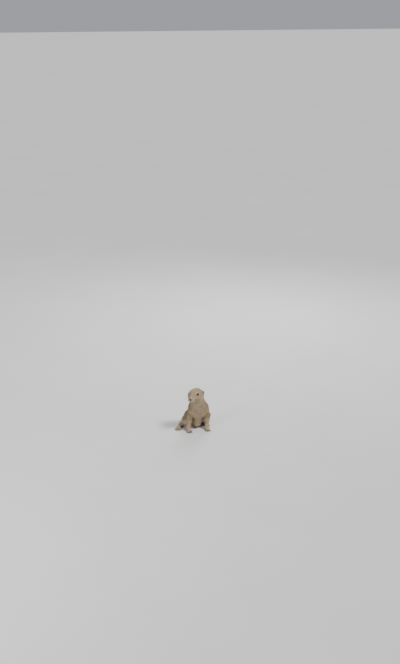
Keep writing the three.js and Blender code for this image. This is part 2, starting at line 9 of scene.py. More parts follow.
import bpy
import numpy as np
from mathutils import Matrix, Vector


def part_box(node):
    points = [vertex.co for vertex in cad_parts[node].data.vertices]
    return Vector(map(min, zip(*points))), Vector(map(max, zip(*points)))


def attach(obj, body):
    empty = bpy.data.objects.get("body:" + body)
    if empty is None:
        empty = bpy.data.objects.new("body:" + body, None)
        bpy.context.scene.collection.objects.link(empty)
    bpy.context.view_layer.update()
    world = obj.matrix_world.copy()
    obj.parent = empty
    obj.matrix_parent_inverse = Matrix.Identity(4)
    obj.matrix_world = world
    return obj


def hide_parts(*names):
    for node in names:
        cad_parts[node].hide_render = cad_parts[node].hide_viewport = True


bl_info = {
    "name": "Prairie dog dresser",
    "version": (1, 0, 0),
    "blender": (4, 5, 0),
    "location": "3D View > Sidebar > Prairie dog",
    "description": "Adds the skin, coat, eyes, ears, nose, whiskers and claws of a sitting prairie dog",
    "category": "Object",
}

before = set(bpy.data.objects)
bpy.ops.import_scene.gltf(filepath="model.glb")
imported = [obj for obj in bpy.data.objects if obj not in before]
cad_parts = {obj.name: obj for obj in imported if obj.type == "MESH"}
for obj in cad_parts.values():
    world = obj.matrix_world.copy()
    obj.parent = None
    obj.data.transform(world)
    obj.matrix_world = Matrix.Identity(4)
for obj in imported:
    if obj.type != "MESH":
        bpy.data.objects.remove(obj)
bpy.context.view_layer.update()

MM = 0.001
X, Y, Z = range(3)
SEED = 20
LATER_SEEDS = {"ears": 40, "lids": 50, "whiskers": 60}
SIDES = {"left": 1, "right": -1}

# The body's own sizes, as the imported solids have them.
HEAD_AT = np.array([-8.6, 5.6, 142.6])
HEAD_TURN = -40
HEAD_NOD = 2
HEAD_TILT = -6
SNOUT = 40
EYE = {"at": (16.0, -13.2, 5.2), "radius": 5.3, "looks": (0.86, -0.45, 0.22)}
EAR = {"at": (23.4, 16.5, 0.8), "size": (4.6, 4.9, 6.4), "wall": 0.9, "faces": (0.86, -0.46, 0.22)}
NOSE_PAD = {"at": (0, -39.5, -6.2), "size": (3.5, 2.9, 3.0)}
MOUTH = {"height": -12.0, "rise": 7, "corner": -21}
CHEST = {"middle": 5.2, "shoulder": 84, "elbow": 51}
FORE = {"shoulder": 21.5, "elbow": 33.2, "stance": 35}
HIP = {"height": 35, "back": 52, "half": 19.5}
WRIST = 12.5
TAIL_PATH = ((0, 78, 15), (2, 96, 9.4), (7, 116, 7.2), (14, 134, 6.2), (21, 149, 4.2))
TAIL_HALF_WIDTH = (13, 11.5, 10.5, 9.4, 5.6)
TAIL_FLATNESS = 0.78
FORE_TOES = ((-6.8, -2.5, -9.6, -9), (-5.2, -7.5, -7.4, -16.8), (-1.9, -8.5, -2.6, -20.2),
             (1.9, -8.5, 2.6, -19.8), (5.3, -7.5, 7.6, -16.4))
HIND = {
    "left": {"knee": (33, 31, 33), "heel": (37, 62, 8), "ball": (39.5, 36, 6.2), "points": 3},
    "right": {"knee": (-38, 28, 32), "heel": (-52, 50, 8), "ball": (-67, 25, 6.2), "points": 30},
}
HIND_TOES = ((-6.4, 1, -9.8, -8.6), (-3.5, -1, -5.3, -14.6), (0, -2, 0, -16.8), (3.5, -1.5, 5.2, -15.4),
             (6.6, 2, 9.8, -9.2))
TOE_RADII = {"fore": (2.4, 1.85), "thumb": (1.9, 1.5), "hind": (2.6, 1.9), "outer": (2.2, 1.7)}
CLAW = {"fore": 5.8, "thumb": 3.5, "hind": 4.7, "thick": 1.2, "thin": 0.2}
FILLET = {"neck": 20, "head": 10, "arm": (2, 14), "haunch": (2, 13), "tail": 9, "toe": 1.4}

# How deep the coat lies: two depths are those of the two ends, such as muzzle and nape, or foot and hip.
DEPTH = {"trunk": 3.9, "neck": 3.7, "tail": 4.4, "head": (0.8, 2.4), "arm": (0.6, 3.4), "leg": (0.65, 3.8)}
SOLE = 0.25  # the least height of skin and hair over the floor

# The eye's cornea over its ball, as a share of the radius, and the lids round it: polar angles of the opening
# and how much wider its corners are, how far it slants, where the band ends, and its thickness over the ball.
CORNEA = 0.035
LID = {"open": 0.58, "corner": 0.3, "sharp": 1.6, "slant": 0.3, "back": 1.5,
       "off": 0.42, "half": 0.24, "rim": 0.12}

# How many tufts each piece of the coat has, and for each lid and ear also how long they are.
COAT = {
    "coat_face": 19000, "coat_crown": 15000, "coat_collar": 16000, "coat_chest": 18000, "coat_back": 17000,
    "coat_rump": 14000, "coat_arms": 13000, "coat_haunches": 15000, "coat_tail": 7500, "coat_feet": 12500,
}
LID_FUR = {"tufts": 1400, "length": 1.5}
EAR_FUR = {"tufts": 2200, "length": 3.2}

# How tufts differ. A wave is smooth noise: its strength, its length in millimetres and its seed.
# TURN is the angle between a tuft and the lie of the coat, RISE its first half's angle over the usual one.
TURN = {"chance": 0.14, "waves": ((0.3, 15, 1), (0.24, 5, 2))}
RISE = {"chance": (0.75, 1.2), "waves": ((0.25, 4.2, 3),), "limits": (0.45, 1.5)}
TUFT = {"bend": (0.1, 0.5), "sway": 0.08, "height": 0.42, "sunk": 0.35, "middle": 0.85,
        "length": (0.75, 1.2), "width": 0.24, "width_by_length": 0.042, "straight": 1.1}
TONE = {"clumps": ((0.24, 3.6, 7),), "broad": ((0.16, 9, 8), (0.1, 26, 9)), "calm_head": 0.7, "chance": 0.3}
GUARD = {"dark": 0.85, "rare": 0.93, "more_on_back": 0.1}

# The muzzle's first whisker in the head's own frame, with the steps to the next row and column, the whiskers
# over the left eye, and lengths: the first one's, then what a column adds and a row takes away.
WHISKERS = {"rows": 4, "columns": 5, "first": (5.5, -37.5, -8.6), "row": (0, 0, -1.5),
            "column": (0.9, 2.9, 0.2)}
BROW_WHISKERS = np.array([(11.0, -18.0, 13.0), (12.5, -16.0, 14.0), (13.5, -13.0, 14.4)])
REACH = {"first": 12, "column": 2.7, "row": 0.8, "brow": 11.0, "chance": (0.85, 1.1), "bend": 0.42,
         "sunk": 0.6}

# Dents in the front of the nose pad: depth, middle, half sizes across and up, and slant. WING swells out.
NOSTRIL = (1.9, (1.6, -0.4), (0.75, 0.55), 0.25)
COMMA = (1.2, (2.4, 0.1), (0.65, 0.33), 0)
WING = (-0.45, (1.9, 0.8), (1, 1), 0)
CLEFT = 0.7

# A claw's middle line: where it starts and how far it runs, in lengths of the claw, then its heights.
CLAW_LINE = {"start": -0.25, "run": 1.5, "height": 2.4, "arch": 0.9, "peak": 1.25, "drop": 1.9, "curl": 2.2}

# The lights' places in metres, the soft ones' share of the fill power and width, and what they all look at.
KEY = {"at": (1.0, -0.75, 1.7), "degrees": 15}
SOFT_LIGHTS = {"fill": (0.6, 0.7, (-1.5, -1.0, 0.9)), "back": (1.0, 0.8, (0.7, 1.4, 1.3))}
LIT = (0, 0, 0.08)
FLOOR_HALF = 30

# Where the skin's grid runs along x, y and z, and the stretches of each in which its steps are fine.
GRID = (((-82, 62), ((-44, 26),)), ((-38, 160), ((-38, 39),)), ((-1.5, 166), ((-1.5, 12), (108, 166))))
MARK_SOFTNESS = 5.0  # over how many millimetres one part's markings pass into the next part's

# The picture's frame, and how it looks at the floor point between the wrists.
PICTURE = (400, 664)
WRISTS_PIXEL = (197.6, 430.0)
FOCAL_PIXELS = 1000
MM_PER_PIXEL = 3.7
LOOK_AZIMUTH = -12
LOOK_DOWN = 25


# Turns and frames

def rotation(axis, degrees):
    """The matrix of a turn about X, Y or Z."""
    c, s = math.cos(math.radians(degrees)), math.sin(math.radians(degrees))
    i, j = (axis + 1) % 3, (axis + 2) % 3
    made = np.eye(3)
    made[i, i], made[i, j], made[j, i], made[j, j] = c, -s, s, c
    return made


HEAD_AXES = rotation(Z, HEAD_TURN) @ rotation(Y, HEAD_TILT) @ rotation(X, HEAD_NOD)


def from_head(points):
    """Points of the head's own frame, as points of the body's frame."""
    return np.asarray(points, float) @ HEAD_AXES.T + HEAD_AT


def in_head(points):
    """Points of the body's frame, as points of the head's own frame."""
    return (np.asarray(points, float) - HEAD_AT) @ HEAD_AXES


def eye_box_middle():
    """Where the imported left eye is, in the row's frame, in mm."""
    low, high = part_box("eye_left")
    return (np.array(low) + np.array(high)) / 2 / MM


ORIGIN = from_head(EYE["at"]) - eye_box_middle()
ORIGIN[2] = 0


def to_frame(points):
    """Points of the body's frame in mm, as metres in the row's frame."""
    return (np.asarray(points, float) - ORIGIN) * MM


def unit(v):
    """v at length 1, along the last axis."""
    v = np.asarray(v, float)
    return v / np.maximum(np.linalg.norm(v, axis=-1, keepdims=True), 1e-9)


def mix(a, b, t):
    """From a to b as t goes from 0 to 1."""
    return a + (b - a) * t


def ramp(v, low, high):
    """0 below low, 1 above high and smooth between them."""
    t = np.clip((v - low) / (high - low), 0, 1)
    return t * t * (3 - 2 * t)


def bump(v, width):
    """A bell, 1 at 0, that falls to 1/e at width."""
    return np.exp(-(v / width) ** 2)


def basis(facing):
    """Across, up and facing: three unit axes as columns, the second as upright as it can be."""
    facing = unit(facing)
    across = unit(np.cross((0, 0, 1), facing))
    return np.column_stack([across, np.cross(facing, across), facing])


# Fields: each takes x, y, z and gives the distance to a surface in mm, negative inside it.

def ball(centre, radii, tilt=0):
    """An ellipsoid tilted about x: its reach times reach less one, over the reach's slope."""
    c, s = math.cos(math.radians(tilt)), math.sin(math.radians(tilt))

    def distance(x, y, z):
        dx, dy, dz = x - centre[0], y - centre[1], z - centre[2]
        a, b, e = dx / radii[0], (c * dy + s * dz) / radii[1], (c * dz - s * dy) / radii[2]
        reach = np.sqrt(a * a + b * b + e * e + 1e-9)
        slope = np.sqrt((a / radii[0]) ** 2 + (b / radii[1]) ** 2 + (e / radii[2]) ** 2)
        return reach * (reach - 1) / np.maximum(slope, 1e-6)
    return distance


def limb(a, b, thick, thin, flat=1):
    """A round limb from a to b: the distance to the line less a radius that goes from thick to thin."""
    ex, ey, ez = b[0] - a[0], b[1] - a[1], (b[2] - a[2]) / flat
    length2 = ex * ex + ey * ey + ez * ez

    def distance(x, y, z):
        dx, dy, dz = x - a[0], y - a[1], (z - a[2]) / flat
        t = np.clip((dx * ex + dy * ey + dz * ez) / length2, 0, 1)
        off = np.sqrt((dx - t * ex) ** 2 + (dy - t * ey) ** 2 + (dz - t * ez) ** 2)
        return (off - mix(thick, thin, t)) * min(1, flat)
    return distance


def blend(a, b, k):
    """The smaller of two distances, with a fillet about k wide where they are alike."""
    h = np.maximum(k - np.abs(a - b), 0) / k
    return np.minimum(a, b) - h * h * k / 4


def joined(k, *fields):
    """Several fields joined with one width of fillet."""
    def distance(x, y, z):
        d = fields[0](x, y, z)
        for field in fields[1:]:
            d = blend(d, field(x, y, z), k)
        return d
    return distance


def placed(axes, at, field):
    """A field drawn in a turned frame, read from outside it."""
    def distance(x, y, z):
        dx, dy, dz = x - at[0], y - at[1], z - at[2]
        return field(*(axes[0, i] * dx + axes[1, i] * dy + axes[2, i] * dz for i in range(3)))
    return distance


def both(make):
    """What make gives for the left side and for the right."""
    return [make(s) for s in SIDES.values()]


def head_field():
    """Skull, cheeks, brows and muzzle as blended balls and limbs, with a hollow for each eye."""
    skull = joined(9,
                   ball((0, 4.5, -0.5), (23, 26.5, 18.8)),
                   ball((0, -13, 2), (15.5, 16, 13.5), 14),
                   *both(lambda s: ball((s * 17, 3, -7.5), (13, 19, 14))),
                   *both(lambda s: ball((s * 12.4, -11.5, 8), (6.2, 8.5, 5.8))))
    muzzle = joined(7,
                    limb((0, -14, -4.5), (0, -SNOUT + 12, -8.8), 15.5, 9.6),
                    limb((0, -14, 4), (0, -SNOUT + 5, -5.4), 9, 4.8),
                    *both(lambda s: ball((s * 5.4, -SNOUT + 7.4, -11.2), (5.6, 6.4, 5.4))),
                    limb((0, 4, -15), (0, -SNOUT + 12.5, -16.2), 10.5, 5.2))
    flesh = joined(8, skull, muzzle)
    sockets = both(lambda s: ball((s * 22.6, -15.6, 5.6), (4.6, 5.2, 4.4)))

    def distance(x, y, z):
        d = flesh(x, y, z)
        for socket in sockets:
            d = -blend(-d, socket(x, y, z), 4)
        return d
    return placed(HEAD_AXES, HEAD_AT, distance)


def trunk_field():
    """The trunk, upright at the chest, narrow at the keel between the forelegs and round at the rump."""
    return joined(11,
                  ball((CHEST["middle"], 15, 82), (27, 27, 40), -8),
                  *both(lambda s: ball((CHEST["middle"] + s * 17, 16, 75), (14, 20, 26), -10)),
                  ball((3, 37, 64), (28, 29, 50), 27),
                  ball((0, HIP["back"], 34), (33, 34, 36), 12),
                  ball((2, 27, 31), (15, 20, 28.5)),
                  limb((CHEST["middle"] - 1, 6, 68), (2, 18, 22), 12, 9))


def foreleg_field(s):
    """A foreleg with its five toes spread over the floor."""
    x = s * FORE["stance"]
    shoulder = (CHEST["middle"] + s * FORE["shoulder"], 14, CHEST["shoulder"])
    elbow = (CHEST["middle"] + s * FORE["elbow"], 16, CHEST["elbow"])
    arm = joined(8,
                 limb(shoulder, elbow, 15, 11.6),
                 limb(elbow, (x, 1.5, WRIST), 11.2, 7.2),
                 ball((x, -4.5, 5.4), (7.8, 10, 5.6)))
    toes = [limb((x + s * rx, ry, 4.2), (x + s * tx, ty, 1.9), *TOE_RADII["fore" if i else "thumb"])
            for i, (rx, ry, tx, ty) in enumerate(FORE_TOES)]
    return joined(FILLET["toe"], arm, *toes)


def hindleg_field(side):
    """Haunch, shank, long foot and toes of one side."""
    s, leg = SIDES[side], HIND[side]
    knee, heel, root = leg["knee"], leg["heel"], leg["ball"]
    hip = (s * HIP["half"], HIP["back"], HIP["height"])
    haunch = joined(12, limb(hip, knee, 23, 15), limb(knee, heel, 14, 8))
    foot = joined(5, limb(heel, root, 7.6, 7.4, 0.8), limb(heel, (heel[0], heel[1] - 8, 13), 7.5, 8))
    toes = [limb((s * rx, ry, 4.4), (s * tx, ty, 1.95), *TOE_RADII["hind" if i % 4 else "outer"])
            for i, (rx, ry, tx, ty) in enumerate(HIND_TOES)]
    spread = placed(rotation(Z, s * leg["points"]), (root[0], root[1], 0), joined(FILLET["toe"], *toes))
    return lambda x, y, z: blend(blend(haunch(x, y, z), foot(x, y, z), 6), spread(x, y, z), 1.8)


def tail_field():
    """The tail, flat on the floor and broadest near its root."""
    lengths = [limb(a, b, TAIL_HALF_WIDTH[i], TAIL_HALF_WIDTH[i + 1], TAIL_FLATNESS)
               for i, (a, b) in enumerate(zip(TAIL_PATH, TAIL_PATH[1:]))]
    return joined(0.8, *lengths)


PARTS = {
    "trunk": trunk_field(),
    "neck": limb((2, 17, 100), (-3, 9, 134), 24, 23.5),
    "head": head_field(),
    "fore_left": foreleg_field(1),
    "fore_right": foreleg_field(-1),
    "hind_left": hindleg_field("left"),
    "hind_right": hindleg_field("right"),
    "tail": tail_field(),
}


def measured(x, y, z):
    """The distance to each part of the body, by name."""
    return {name: part(x, y, z) for name, part in PARTS.items()}


def coat_surface(parts, z):
    """The outside of the coat: legs blend widely with the trunk above and hardly at all near the floor."""
    d = blend(parts["trunk"], parts["neck"], FILLET["neck"])
    d = blend(d, parts["head"], FILLET["head"])
    arm_fillet = mix(*FILLET["arm"], ramp(z, 46, 78))
    haunch_fillet = mix(*FILLET["haunch"], ramp(z, 10, 34))
    for side in SIDES:
        d = blend(d, parts["fore_" + side], arm_fillet)
    for side in SIDES:
        d = blend(d, parts["hind_" + side], haunch_fillet)
    return blend(d, parts["tail"], FILLET["tail"])


def shares(parts, softness=3.0):
    """How much each part owns a point, adding up to 1: the nearest most, by a falling exponential."""
    nearest = np.minimum.reduce(list(parts.values()))
    weight = {name: np.exp(-np.clip((d - nearest) / softness, 0, 30)) for name, d in parts.items()}
    total = sum(weight.values())
    return {name: w / total for name, w in weight.items()}


def coat_depth(share, x, y, z):
    """How deep the coat lies over the skin: deepest on trunk and tail, least on muzzle and feet."""
    behind = HEAD_AXES[0, 1] * (x - HEAD_AT[0]) + HEAD_AXES[1, 1] * (y - HEAD_AT[1])
    head = mix(*DEPTH["head"], ramp(behind, -36, 14))
    arm = mix(*DEPTH["arm"], ramp(z, 4, 62))
    leg = mix(*DEPTH["leg"], ramp(z, 5, 36))
    return (DEPTH["trunk"] * share["trunk"] + DEPTH["neck"] * share["neck"] + head * share["head"]
            + arm * (share["fore_left"] + share["fore_right"])
            + leg * (share["hind_left"] + share["hind_right"]) + DEPTH["tail"] * share["tail"])


def mouth_line(x, y, z):
    """Height over the line of the lips, and 0 to 1 for how far forward of its corner a point is."""
    hx, hy, hz = (sum(HEAD_AXES[j, i] * (c - HEAD_AT[j]) for j, c in enumerate((x, y, z))) for i in range(3))
    line = MOUTH["height"] + (hy - MOUTH["corner"]) * math.tan(math.radians(MOUTH["rise"]))
    curl = 2.0 * ramp(hy, MOUTH["corner"] - 7, MOUTH["corner"] + 1)
    forward = ramp(-hy, -MOUTH["corner"] - 1, -MOUTH["corner"] + 3) * ramp(-np.abs(hx), -19, -17)
    return hz - line - curl, forward


def skin_field(x, y, z):
    """The skin: the coat's surface moved in by its depth, with the groove between the lips and flat soles."""
    parts = measured(x, y, z)
    share = shares(parts)
    d = coat_surface(parts, z) + coat_depth(share, x, y, z)
    above, forward = mouth_line(x, y, z)
    groove, swell = 1.5 * bump(above, 0.8), 0.5 * bump(np.abs(above) - 1.9, 1.2)
    d = d + (groove - swell) * forward * share["head"]
    return np.maximum(d, SOLE - z)


def outer_field(x, y, z):
    """The outside of the coat alone."""
    return coat_surface(measured(x, y, z), z)


def by_points(field, points):
    """A field read at an array of points."""
    return field(points[:, 0], points[:, 1], points[:, 2])


def slope(field, points, reach=0.25):
    """The field's slope at each point, by central differences."""
    steps = np.eye(3) * reach
    rises = [by_points(field, points + h) - by_points(field, points - h) for h in steps]
    return np.column_stack(rises) / (2 * reach)


# Meshes

def surface_nets(field, axes):
    """The field's zero surface over a grid that may be finer in places.

    Each grid cell that the surface passes gets one vertex, at the mean of its crossings with the cell's
    edges, and each grid edge that it crosses gets the face of the four cells round it. Vertices then move
    down the slope.
    """
    xs, ys, zs = axes
    slab = 8
    value = np.concatenate([field(*np.meshgrid(xs, ys, zs[k:k + slab], indexing="ij")).astype(np.float32)
                            for k in range(0, len(zs), slab)], axis=2)
    inside = value < 0
    corners = np.array([(i, j, k) for i in (0, 1) for j in (0, 1) for k in (0, 1)])
    size = np.array(value.shape) - 1
    within = sum(inside[i:i + size[0], j:j + size[1], k:k + size[2]].astype(np.int8) for i, j, k in corners)
    cells = np.argwhere((within > 0) & (within < 8))
    number = np.full(size, -1)
    number[tuple(cells.T)] = np.arange(len(cells))
    total, hits = np.zeros((len(cells), 3)), np.zeros(len(cells))
    for corner in corners:
        for axis in np.flatnonzero(corner == 0):
            other = corner + np.eye(3, dtype=int)[axis]
            a, b = value[tuple((cells + corner).T)], value[tuple((cells + other).T)]
            crossed = (a < 0) != (b < 0)
            t = np.where(crossed, a / np.where(crossed, a - b, 1), 0)
            total += crossed[:, None] * (corner + t[:, None] * (other - corner))
            hits += crossed
    local = total / hits[:, None]
    points = np.column_stack([np.interp(cells[:, i] + local[:, i], np.arange(len(axes[i])), axes[i])
                              for i in range(3)])
    faces = np.concatenate([faces_across(inside, number, axis) for axis in range(3)])
    for _ in range(3):
        steep = slope(field, points)
        move = -by_points(field, points) / np.maximum((steep ** 2).sum(axis=1), 0.2)
        points = points + steep * np.clip(move, -0.5, 0.5)[:, None]
    return points, faces


def faces_across(inside, number, axis):
    """One four-sided face for each grid edge along axis that the surface crosses, facing out."""
    u, v = [(1, 2), (2, 0), (0, 1)][axis]
    here = np.take(inside, range(inside.shape[axis] - 1), axis=axis)
    there = np.take(inside, range(1, inside.shape[axis]), axis=axis)
    edges = np.argwhere(here != there)
    edges = edges[(edges[:, u] > 0) & (edges[:, u] < number.shape[u])
                  & (edges[:, v] > 0) & (edges[:, v] < number.shape[v])]
    leaving = here[tuple(edges.T)]
    back_u, back_v = np.eye(3, dtype=int)[u], np.eye(3, dtype=int)[v]
    ring = np.column_stack([number[tuple((edges - shift).T)]
                            for shift in (0 * back_u, back_u, back_u + back_v, back_v)])
    return np.where(leaving[:, None], ring, ring[:, ::-1])


def tube_faces(rings, around):
    """Four-sided faces of a grid of rings that closes on itself round each ring, and a fan at each end.

    The grid's vertices come first, ring by ring, then one vertex for each end.
    """
    i, j = np.meshgrid(np.arange(rings - 1), np.arange(around), indexing="ij")
    a, b = i * around + j, i * around + (j + 1) % around
    faces = np.stack([a, b, b + around, a + around], axis=-1).reshape(-1, 4)
    j = np.arange(around)
    start, end = rings * around, rings * around + 1
    last = (rings - 1) * around
    fans = np.concatenate([np.column_stack([np.full(around, start), (j + 1) % around, j]),
                           np.column_stack([np.full(around, end), last + j, last + (j + 1) % around])])
    return faces, fans


def add_mesh(name, material, points, quads=None, triangles=None, attributes=None, unwrap=None):
    """A new object from points in the body's frame in mm, rows of indices, and values for each vertex."""
    mesh = bpy.data.meshes.new(name)
    mesh.vertices.add(len(points))
    mesh.vertices.foreach_set("co", to_frame(points).astype(np.float32).ravel())
    shapes = [f for f in (quads, triangles) if f is not None and len(f)]
    corners = np.concatenate([f.ravel() for f in shapes]).astype(np.int32)
    sizes = np.concatenate([np.full(len(f), f.shape[1]) for f in shapes])
    mesh.loops.add(len(corners))
    mesh.loops.foreach_set("vertex_index", corners)
    mesh.polygons.add(len(sizes))
    mesh.polygons.foreach_set("loop_start", np.concatenate([[0], np.cumsum(sizes)[:-1]]).astype(np.int32))
    for key, values in (attributes or {}).items():
        mesh.attributes.new(key, "FLOAT", "POINT").data.foreach_set("value", np.asarray(values, np.float32))
    if unwrap is not None:
        mesh.uv_layers.new(name="OFBake").data.foreach_set("uv", unwrap[corners].astype(np.float32).ravel())
    mesh.materials.append(material)
    mesh.update(calc_edges=True)
    mesh.shade_smooth()
    made = bpy.data.objects.new(name, mesh)
    bpy.context.scene.collection.objects.link(made)
    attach(made, "root")
    return made


# The body's markings, the same for skin and coat

def markings(points):
    """How pale, how dark and how bare each point is, from 0 to 1.

    Pale is the belly, chest, throat, muzzle, cheeks, eye ring, inner legs and feet. Dark is the end of the
    tail and a faint bar over each cheek. Bare is the soles, the lips and the edge of the nose pad.
    """
    x, y, z = points.T
    share = shares(measured(x, y, z), MARK_SOFTNESS)
    normal = unit(slope(outer_field, points))
    hx, hy, hz = in_head(points).T
    wobble = 0.12 * waves(points, 9, 5)
    front = ramp(-normal[:, 1] - 0.35 * normal[:, 2] + wobble, -0.1, 0.75)
    under = ramp(-normal[:, 2] + wobble, 0.2, 0.8)
    lower = ramp(-z, -50, -14)
    pale_head = np.clip(0.45 + 0.6 * ramp(-hz + wobble * 9, -4, 12) * ramp(-hy, -24, 8)
                        + ramp(-hy, 20, 38) * 0.6 + 0.6 * bump(eye_distance(points) - 7.2, 2.4), 0, 1)
    legs = share["fore_left"] + share["fore_right"] + share["hind_left"] + share["hind_right"]
    pale = (pale_head * share["head"] + 0.8 * np.maximum(front, under) * (share["trunk"] + share["neck"])
            + np.clip(front * 0.6 + lower, 0, 1) * legs + 0.35 * share["tail"])
    along_tail = ramp(y + wobble * 30, 116, 130)
    cheek_bar = (bump(hz - 2 - 0.35 * (hy + 2), 3.0) * ramp(np.abs(hx), 12, 17)
                 * ramp(-np.abs(hy - 1), -11, -6))
    dark = along_tail * share["tail"] + 0.16 * cheek_bar * share["head"]
    above, forward = mouth_line(x, y, z)
    soles = ramp(-z, -1.6, -0.7) * legs
    lips = 0.95 * bump(above, 1.0) * forward * share["head"]
    bare = np.clip(soles + lips + ramp(-nose_reach(points), -1.3, -1.1), 0, 1)
    return {"pale": np.clip(pale, 0, 1), "dark": np.clip(dark, 0, 1), "bare": bare}


def eye_distance(points):
    """Distance to the middle of the nearer eye."""
    head = in_head(points)
    return np.minimum.reduce([np.linalg.norm(head - mirrored(EYE["at"], s), axis=1) for s in SIDES.values()])


def nose_reach(points):
    """How far a point is from the middle of the nose pad, where 1 is the pad's own surface."""
    return np.linalg.norm((in_head(points) - NOSE_PAD["at"]) / np.array(NOSE_PAD["size"]), axis=1)


def waves(points, length, seed, count=7):
    """Smooth noise of about that wavelength, from -1 to 1: a mean of sines in random directions."""
    rng = np.random.default_rng(SEED + seed)
    directions = unit(rng.normal(size=(count, 3))) * (2 * np.pi / length) * rng.uniform(0.7, 1.4, (count, 1))
    phases = rng.uniform(0, 2 * np.pi, count)
    return np.sin(points @ directions.T + phases).mean(axis=1) * 2


def summed(points, table, start=0.0):
    """start with waves added to it: a table of strengths, lengths and seeds."""
    for strength, length, seed in table:
        start = start + strength * waves(points, length, seed)
    return start


def mirrored(place, s):
    """A place of the left side, for the side whose sign is s."""
    return np.array([s * place[0], place[1], place[2]], float)


# Materials

def node_tree(name):
    """A new material with its shader, and shorthand for adding nodes and links."""
    material = bpy.data.materials.new(name)
    material.use_nodes = True
    tree = material.node_tree
    shader = tree.nodes["Principled BSDF"]

    def add(kind, **values):
        node = tree.nodes.new(kind)
        for key, value in values.items():
            if key in node.inputs:
                node.inputs[key].default_value = value
            else:
                setattr(node, key, value)
        return node

    def link(a, b):
        tree.links.new(a, b)
    return material, shader, add, link


def mixed(add, link, amount, first, second):
    """The first colour turning into the second as amount goes from 0 to 1. Each is a value or a socket."""
    node = add("ShaderNodeMix", data_type="RGBA")
    for place, value in ((0, amount), (6, first), (7, second)):
        if isinstance(value, bpy.types.NodeSocket):
            link(value, node.inputs[place])
        else:
            node.inputs[place].default_value = (*value, 1) if place else value
    return node.outputs[2]


def attribute(add, name):
    """A value that the mesh holds for each vertex."""
    return add("ShaderNodeAttribute", attribute_name=name).outputs["Fac"]


def product(add, link, a, b):
    """a times b, each a socket or a number, kept between 0 and 1."""
    node = add("ShaderNodeMath", operation="MULTIPLY", use_clamp=True)
    for socket, value in zip(node.inputs, (a, b)):
        if isinstance(value, bpy.types.NodeSocket):
            link(value, socket)
        else:
            socket.default_value = value
    return node.outputs[0]


def ranged(add, link, value, low, high, first=0.0, last=1.0):
    """A socket's value, carried from first to last as it goes from low to high."""
    node = add("ShaderNodeMapRange")
    for key, number in (("From Min", low), ("From Max", high), ("To Min", first), ("To Max", last)):
        node.inputs[key].default_value = number
    link(value, node.inputs["Value"])
    return node.outputs["Result"]


def spotted(add, link, scale, low, high, detail=3.0):
    """Noise on Object coordinates, 0 below low and 1 above high."""
    place = add("ShaderNodeTexCoord")
    noise = add("ShaderNodeTexNoise", Scale=scale, Detail=detail)
    link(place.outputs["Object"], noise.inputs["Vector"])
    return ranged(add, link, noise.outputs["Fac"], low, high)


def relief(shader, add, link, height, strength, metres):
    """Fine relief that follows a socket, as high as metres."""
    node = add("ShaderNodeBump", Strength=strength, Distance=metres)
    link(height, node.inputs["Height"])
    link(node.outputs["Normal"], shader.inputs["Normal"])


def fur_material(look, name, of_tufts):
    """Buff hairs darkened towards the roots, for their greyer bases and as painted shade between the hairs,
    with some dark tips, pale below and black on the tail's end.

    The skin's has the same markings, darkened towards the roots' colour for the greyer underfur and as
    painted shade between the hairs, with bare places and a fine grain.
    """
    material, shader, add, link = node_tree(name)
    back = mixed(add, link, spotted(add, link, 55, 0.35, 0.65), look.back_colour, look.warm_colour)
    colour = mixed(add, link, attribute(add, "pale"), back, look.belly_colour)
    if of_tufts:
        tone, along = attribute(add, "tone"), attribute(add, "along")
        tips = product(add, link, attribute(add, "guard"), along)
        colour = mixed(add, link, tips, colour, look.guard_colour)
        # Painted shade: tufts darken towards the root, partly the hairs' greyer bases and partly shade
        # between the hairs.
        colour = mixed(add, link, ranged(add, link, along, 0, 0.6, 0.6, 0), colour, look.roots_and_shade_colour)
        colour = mixed(add, link, ranged(add, link, tone, 0, 0.45, 0.5, 0), colour, look.roots_and_shade_colour)
        lit = product(add, link, ranged(add, link, tone, 0.5, 1, 0, 0.5), along)
        colour = mixed(add, link, lit, colour, look.belly_colour)
    else:
        # Painted shade: the skin between the tufts is darkened towards the roots' colour, partly greyer
        # underfur and partly shade between the hairs.
        colour = mixed(add, link, 0.45, colour, look.roots_and_shade_colour)
    colour = mixed(add, link, attribute(add, "dark"), colour, look.tail_colour)
    if not of_tufts:
        colour = mixed(add, link, attribute(add, "bare"), colour, look.skin_colour)
        relief(shader, add, link, spotted(add, link, 1500, 0.3, 0.7, 2.0), 0.5, 0.0004)
    link(colour, shader.inputs["Base Color"])
    shader.inputs["Roughness"].default_value = 0.72 if of_tufts else 0.85
    shader.inputs["Specular IOR Level"].default_value = 0.3
    shader.inputs["Sheen Weight"].default_value = 0.12
    return material


def eye_material(look):
    """Dark wet brown with a black pupil that melts into it."""
    material, shader, add, link = node_tree("eye_gloss")
    iris = mixed(add, link, spotted(add, link, 900, 0.3, 0.7), look.eye_colour, look.iris_colour)
    pupil = ranged(add, link, attribute(add, "centre"), 0.42, 0.58)
    link(mixed(add, link, pupil, look.eye_colour, iris), shader.inputs["Base Color"])
    shader.inputs["Roughness"].default_value = 0.05
    shader.inputs["Specular IOR Level"].default_value = 0.3
    return material


def nose_material(look):
    """Bare dark skin with a fine pebbled relief."""
    material, shader, add, link = node_tree("nose_leather")
    place = add("ShaderNodeTexCoord")
    pebbles = add("ShaderNodeTexVoronoi", Scale=1400)
    link(place.outputs["Object"], pebbles.inputs["Vector"])
    relief(shader, add, link, pebbles.outputs["Distance"], 0.55, 0.0003)
    lighter = tuple(c * 1.5 for c in look.skin_colour)
    patches = spotted(add, link, 350, 0.35, 0.7)
    link(mixed(add, link, patches, look.skin_colour, lighter), shader.inputs["Base Color"])
    shader.inputs["Roughness"].default_value = 0.42
    return material


